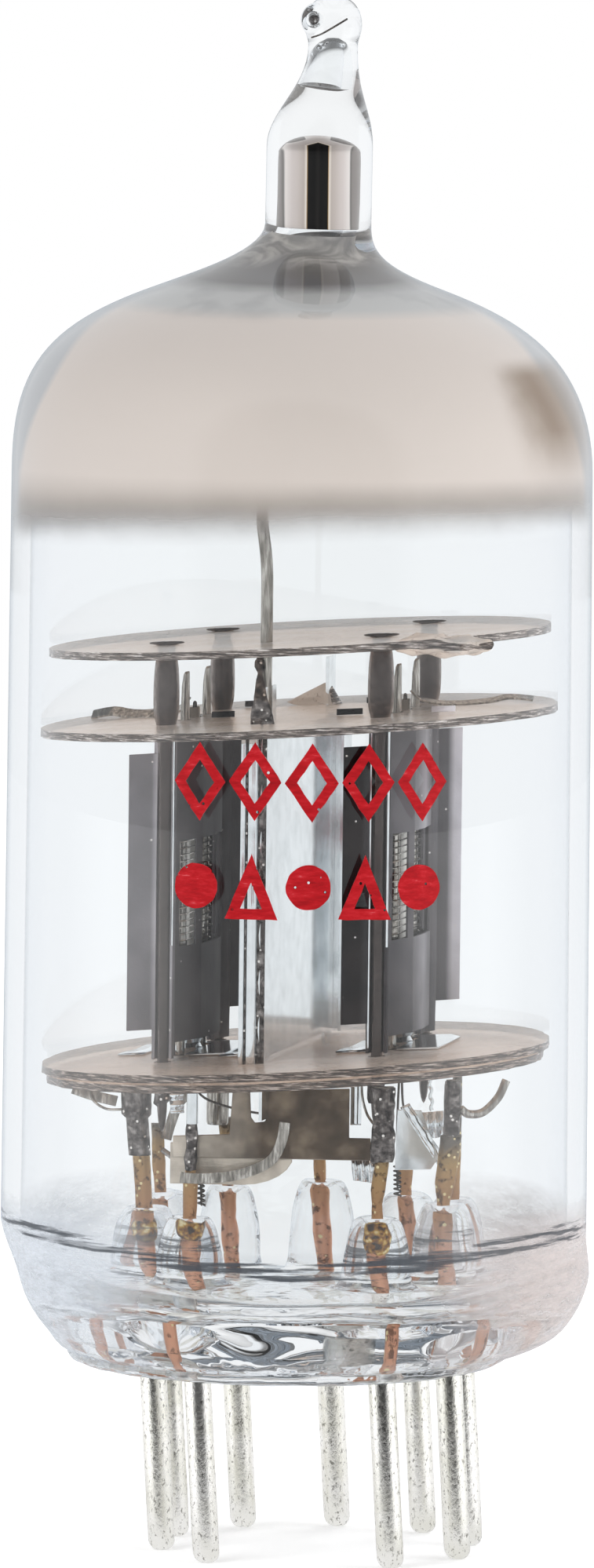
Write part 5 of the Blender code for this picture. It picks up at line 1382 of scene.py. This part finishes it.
def white_paper():
    """The pale floor. Metal mirrors it brightest at both sides, with a dark card in front, and the glass
    sees it with a painted shadow near the tube.
    """
    paper = bpy.data.materials.new("white_paper")
    tree = cleared(paper)
    path = add_node(tree, "LightPath")
    place = add_node(tree, "TexCoord").outputs["Object"]
    apart = split(tree, place)
    forward = product(tree, apart["Y"], -1.0)
    round_about = calc(tree, "ARCTAN2", apart["X"], forward)
    share = ranged(tree, round_about, -math.pi, math.pi)
    sides = ramp(tree, share, (0.0, "#7C7C7C"), (0.22, "#7C7C7C"), (0.28, "#A4A4A4"), (0.355, "#989898"),
                 (0.4, "#181818"), (0.6, "#181818"), (0.635, "#929292"), (0.72, "#A4A4A4"),
                 (0.78, "#7C7C7C"))
    far = product(tree, sides, 5.0)
    away = add_node(tree, "VectorMath", {0: place}, operation="LENGTH")
    card = ranged(tree, away.outputs["Value"], 14.0 * MM, 30.0 * MM, 0.85, far)
    matt = add_node(tree, "BsdfDiffuse", {"Color": "#F2F2F2"})
    glow = add_node(tree, "Emission", {"Color": "#FFFFFF", "Strength": 0.3})
    lit = add_node(tree, "AddShader", {0: matt.outputs[0], 1: glow.outputs[0]})
    mirrored = add_node(tree, "Emission", {"Color": "#FFFFFF", "Strength": card})
    # Seen through the glass, a little darker near the tube: painted shadow
    under = ranged(tree, away.outputs["Value"], 12.0 * MM, 34.0 * MM, to_low=0.95)
    white = add_node(tree, "Emission", {"Color": "#FFFFFF", "Strength": under})
    first = blended(tree, path.outputs["Is Glossy Ray"], lit.outputs[0], mirrored.outputs[0])
    last = blended(tree, path.outputs["Is Transmission Ray"], first, white.outputs[0])
    add_node(tree, "OutputMaterial", {"Surface": last})
    return paper


def build_stage():
    """Pale floor, plain white surroundings, soft lamps and the camera."""
    shape = bmesh.new()
    bmesh.ops.create_circle(shape, cap_ends=True, segments=96, radius=0.45)
    mesh = bpy.data.meshes.new("floor")
    shape.to_mesh(mesh)
    shape.free()
    mesh.materials.append(white_paper())
    floor = bpy.data.objects.new("floor", mesh)
    bpy.context.scene.collection.objects.link(floor)
    build_studio_light()
    build_camera()
    cycles = bpy.context.scene.cycles
    cycles.max_bounces = cycles.glossy_bounces = cycles.transmission_bounces = 20


def build_studio_light():
    """White all round for the eye, a dark room behind the camera for metal to reflect, and three lamps."""
    scene = bpy.context.scene
    world = bpy.data.worlds.new("studio")
    scene.world = world
    tree = cleared(world)
    path = add_node(tree, "LightPath")
    ray = add_node(tree, "TexCoord").outputs["Generated"]
    apart = split(tree, ray)
    room = ramp(tree, ranged(tree, apart["Y"], -1.0, 1.0), (0.0, "#1E1E20"), (0.09, "#38383B"),
                (0.16, "#E4E4E6"), (0.5, "#FFFFFF"), (1.0, "#FFFFFF"))
    glossy = add_node(tree, "Background", {"Strength": 0.95, "Color": room})
    fill = add_node(tree, "Background", {"Color": "#FFFFFF", "Strength": 0.7})
    white = add_node(tree, "Background", {"Color": "#FFFFFF", "Strength": 1.0})
    steep = ranged(tree, calc(tree, "ABSOLUTE", apart["Z"]), 0.3, 0.7, 1.0, 0.2)
    bent = add_node(tree, "Background", {"Color": "#FFFFFF", "Strength": steep})
    first = blended(tree, path.outputs["Is Glossy Ray"], fill.outputs[0], glossy.outputs[0])
    second = blended(tree, path.outputs["Is Transmission Ray"], first, bent.outputs[0])
    last = blended(tree, path.outputs["Is Camera Ray"], second, white.outputs[0])
    add_node(tree, "OutputWorld", {"Surface": last})
    for name, place, size, watts in (("key", (-0.24, -0.26, 0.3), 0.25, 0.6),
                                     ("fill", (0.32, -0.06, 0.16), 0.25, 0.45),
                                     ("back", (0.16, 0.3, 0.26), 0.25, 0.35)):
        lamp = bpy.data.lights.new(name, "AREA")
        lamp.size = size
        lamp.energy = watts
        item = bpy.data.objects.new(name, lamp)
        item.location = place
        item.visible_glossy = False
        item.visible_transmission = False
        item.rotation_euler = (Vector((0.0, 0.0, 0.03)) - Vector(place)).to_track_quat("-Z", "Y").to_euler()
        scene.collection.objects.link(item)


def build_camera():
    """A long lens in front of the tube, above its middle and turned a little, as in the photograph."""
    scene = bpy.context.scene
    data = bpy.data.cameras.new("camera")
    data.lens = 230.4
    data.sensor_width = 36.0
    data.clip_start = 0.01
    camera = bpy.data.objects.new("camera", data)
    scene.collection.objects.link(camera)
    aim = Vector((-0.06, 0.0, 29.1)) * MM
    camera.location = Vector((-0.06, -379.0, 55.0)) * MM
    facing = (aim - camera.location).to_track_quat("-Z", "Y").to_matrix()
    camera.rotation_euler = (facing @ Matrix.Rotation(math.radians(0.66), 3, "Z")).to_euler()
    scene.camera = camera
    scene.view_settings.view_transform = "Standard"


class TubeSizes(bpy.types.PropertyGroup):
    """Sizes and colours that a maker of this tube would change."""

    grid_pitch: bpy.props.FloatProperty(name="Grid pitch",
                                        description="Spacing of the turns of the grid wire",
                                        default=0.25 * MM, min=0.1 * MM, unit="LENGTH", precision=5)
    grid_wire: bpy.props.FloatProperty(name="Grid wire", description="Half the thickness of the grid wire",
                                       default=0.03 * MM, min=0.01 * MM, unit="LENGTH", precision=5)
    print_stroke: bpy.props.FloatProperty(name="Print stroke",
                                          description="Width of the lines of the printed marks",
                                          default=0.36 * MM, min=0.1 * MM, unit="LENGTH", precision=5)
    film_edge: bpy.props.FloatProperty(name="Film edge",
                                       description="Height at which the getter film has faded out",
                                       default=38.7 * MM, min=36.0 * MM, unit="LENGTH", precision=5)
    print_colour: bpy.props.FloatVectorProperty(name="Print colour",
                                                description="Enamel of the printed marks",
                                                default=linear("#AE0D18"), min=0.0, max=1.0, size=4,
                                                subtype="COLOR")
    film_colour: bpy.props.FloatVectorProperty(name="Film colour",
                                               description="Getter film where it is thickest",
                                               default=linear("#DED3CB"), min=0.0, max=1.0, size=4,
                                               subtype="COLOR")


class TUBE_OT_envelope(bpy.types.Operator):
    """Blow the glass envelope"""

    bl_idname = "tube.envelope"
    bl_label = "Glass envelope"

    def execute(self, context):
        build_envelope()
        return {"FINISHED"}


class TUBE_OT_drop_marks(bpy.types.Operator):
    """Mark the drop at the top of the tip"""

    bl_idname = "tube.drop_marks"
    bl_label = "Drop marks"

    def execute(self, context):
        build_drop_marks()
        return {"FINISHED"}


class TUBE_OT_getter_film(bpy.types.Operator):
    """Flash the getter on to the dome and the exhaust bore"""

    bl_idname = "tube.getter_film"
    bl_label = "Getter film"

    def execute(self, context):
        build_getter_film()
        return {"FINISHED"}


class TUBE_OT_pins(bpy.types.Operator):
    """Make the base pins"""

    bl_idname = "tube.pins"
    bl_label = "Base pins"

    def execute(self, context):
        build_pins()
        return {"FINISHED"}


class TUBE_OT_leads(bpy.types.Operator):
    """Make the inner leads"""

    bl_idname = "tube.leads"
    bl_label = "Inner leads"

    def execute(self, context):
        build_leads()
        return {"FINISHED"}


class TUBE_OT_posts(bpy.types.Operator):
    """Make the posts, grid rods and cathodes"""

    bl_idname = "tube.posts"
    bl_label = "Posts, rods and cathodes"

    def execute(self, context):
        build_posts_and_rods()
        build_heaters()
        return {"FINISHED"}


class TUBE_OT_anodes(bpy.types.Operator):
    """Fold the anodes"""

    bl_idname = "tube.anodes"
    bl_label = "Anodes"

    def execute(self, context):
        build_anodes()
        return {"FINISHED"}


class TUBE_OT_grids(bpy.types.Operator):
    """Wind the grids"""

    bl_idname = "tube.grids"
    bl_label = "Grid windings"

    def execute(self, context):
        sizes = context.scene.tube_sizes
        build_grids(sizes.grid_pitch, sizes.grid_wire)
        return {"FINISHED"}


class TUBE_OT_micas(bpy.types.Operator):
    """Punch the mica discs"""

    bl_idname = "tube.micas"
    bl_label = "Mica discs"

    def execute(self, context):
        build_micas()
        return {"FINISHED"}


class TUBE_OT_shield(bpy.types.Operator):
    """Fold the shield and fit the getter's support"""

    bl_idname = "tube.shield"
    bl_label = "Shield and getter support"

    def execute(self, context):
        build_shield()
        build_getter_support()
        return {"FINISHED"}


class TUBE_OT_straps(bpy.types.Operator):
    """Weld the straps and ribbons"""

    bl_idname = "tube.straps"
    bl_label = "Straps and ribbons"

    def execute(self, context):
        build_straps()
        return {"FINISHED"}


class TUBE_OT_weldments(bpy.types.Operator):
    """Add the small welded pieces under the cage"""

    bl_idname = "tube.weldments"
    bl_label = "Weldments"

    def execute(self, context):
        build_weldments()
        return {"FINISHED"}


class TUBE_OT_upper_details(bpy.types.Operator):
    """Add the small pieces over the cage"""

    bl_idname = "tube.upper_details"
    bl_label = "Upper details"

    def execute(self, context):
        build_upper_details()
        return {"FINISHED"}


class TUBE_OT_print(bpy.types.Operator):
    """Stamp the plain enamel ornament"""

    bl_idname = "tube.print"
    bl_label = "Enamel ornament"

    def execute(self, context):
        build_print(context.scene.tube_sizes.print_stroke)
        return {"FINISHED"}


class TUBE_OT_stage(bpy.types.Operator):
    """Set up the floor, the light and the camera"""

    bl_idname = "tube.stage"
    bl_label = "Stage"

    def execute(self, context):
        build_stage()
        return {"FINISHED"}


OPERATORS = (TUBE_OT_envelope, TUBE_OT_drop_marks, TUBE_OT_getter_film, TUBE_OT_pins, TUBE_OT_leads,
             TUBE_OT_posts,
             TUBE_OT_anodes, TUBE_OT_grids, TUBE_OT_micas, TUBE_OT_shield, TUBE_OT_straps, TUBE_OT_weldments,
             TUBE_OT_upper_details, TUBE_OT_print, TUBE_OT_stage)


class TUBE_PT_panel(bpy.types.Panel):
    """Everything that builds the tube, in order"""

    bl_label = "Vacuum tube"
    bl_idname = "TUBE_PT_panel"
    bl_space_type = "VIEW_3D"
    bl_region_type = "UI"
    bl_category = "Tube"

    def draw(self, context):
        for name in TubeSizes.__annotations__:
            self.layout.prop(context.scene.tube_sizes, name)
        for operator in OPERATORS:
            self.layout.operator(operator.bl_idname)


CLASSES = (TubeSizes, *OPERATORS, TUBE_PT_panel)


def register():
    for item in CLASSES:
        bpy.utils.register_class(item)
    bpy.types.Scene.tube_sizes = bpy.props.PointerProperty(type=TubeSizes)


def unregister():
    del bpy.types.Scene.tube_sizes
    for item in reversed(CLASSES):
        bpy.utils.unregister_class(item)


def main():
    """Build the tube and its stage."""
    register()
    for operator in OPERATORS:
        group, name = operator.bl_idname.split(".")
        getattr(getattr(bpy.ops, group), name)()


if __name__ == "__main__":
    main()
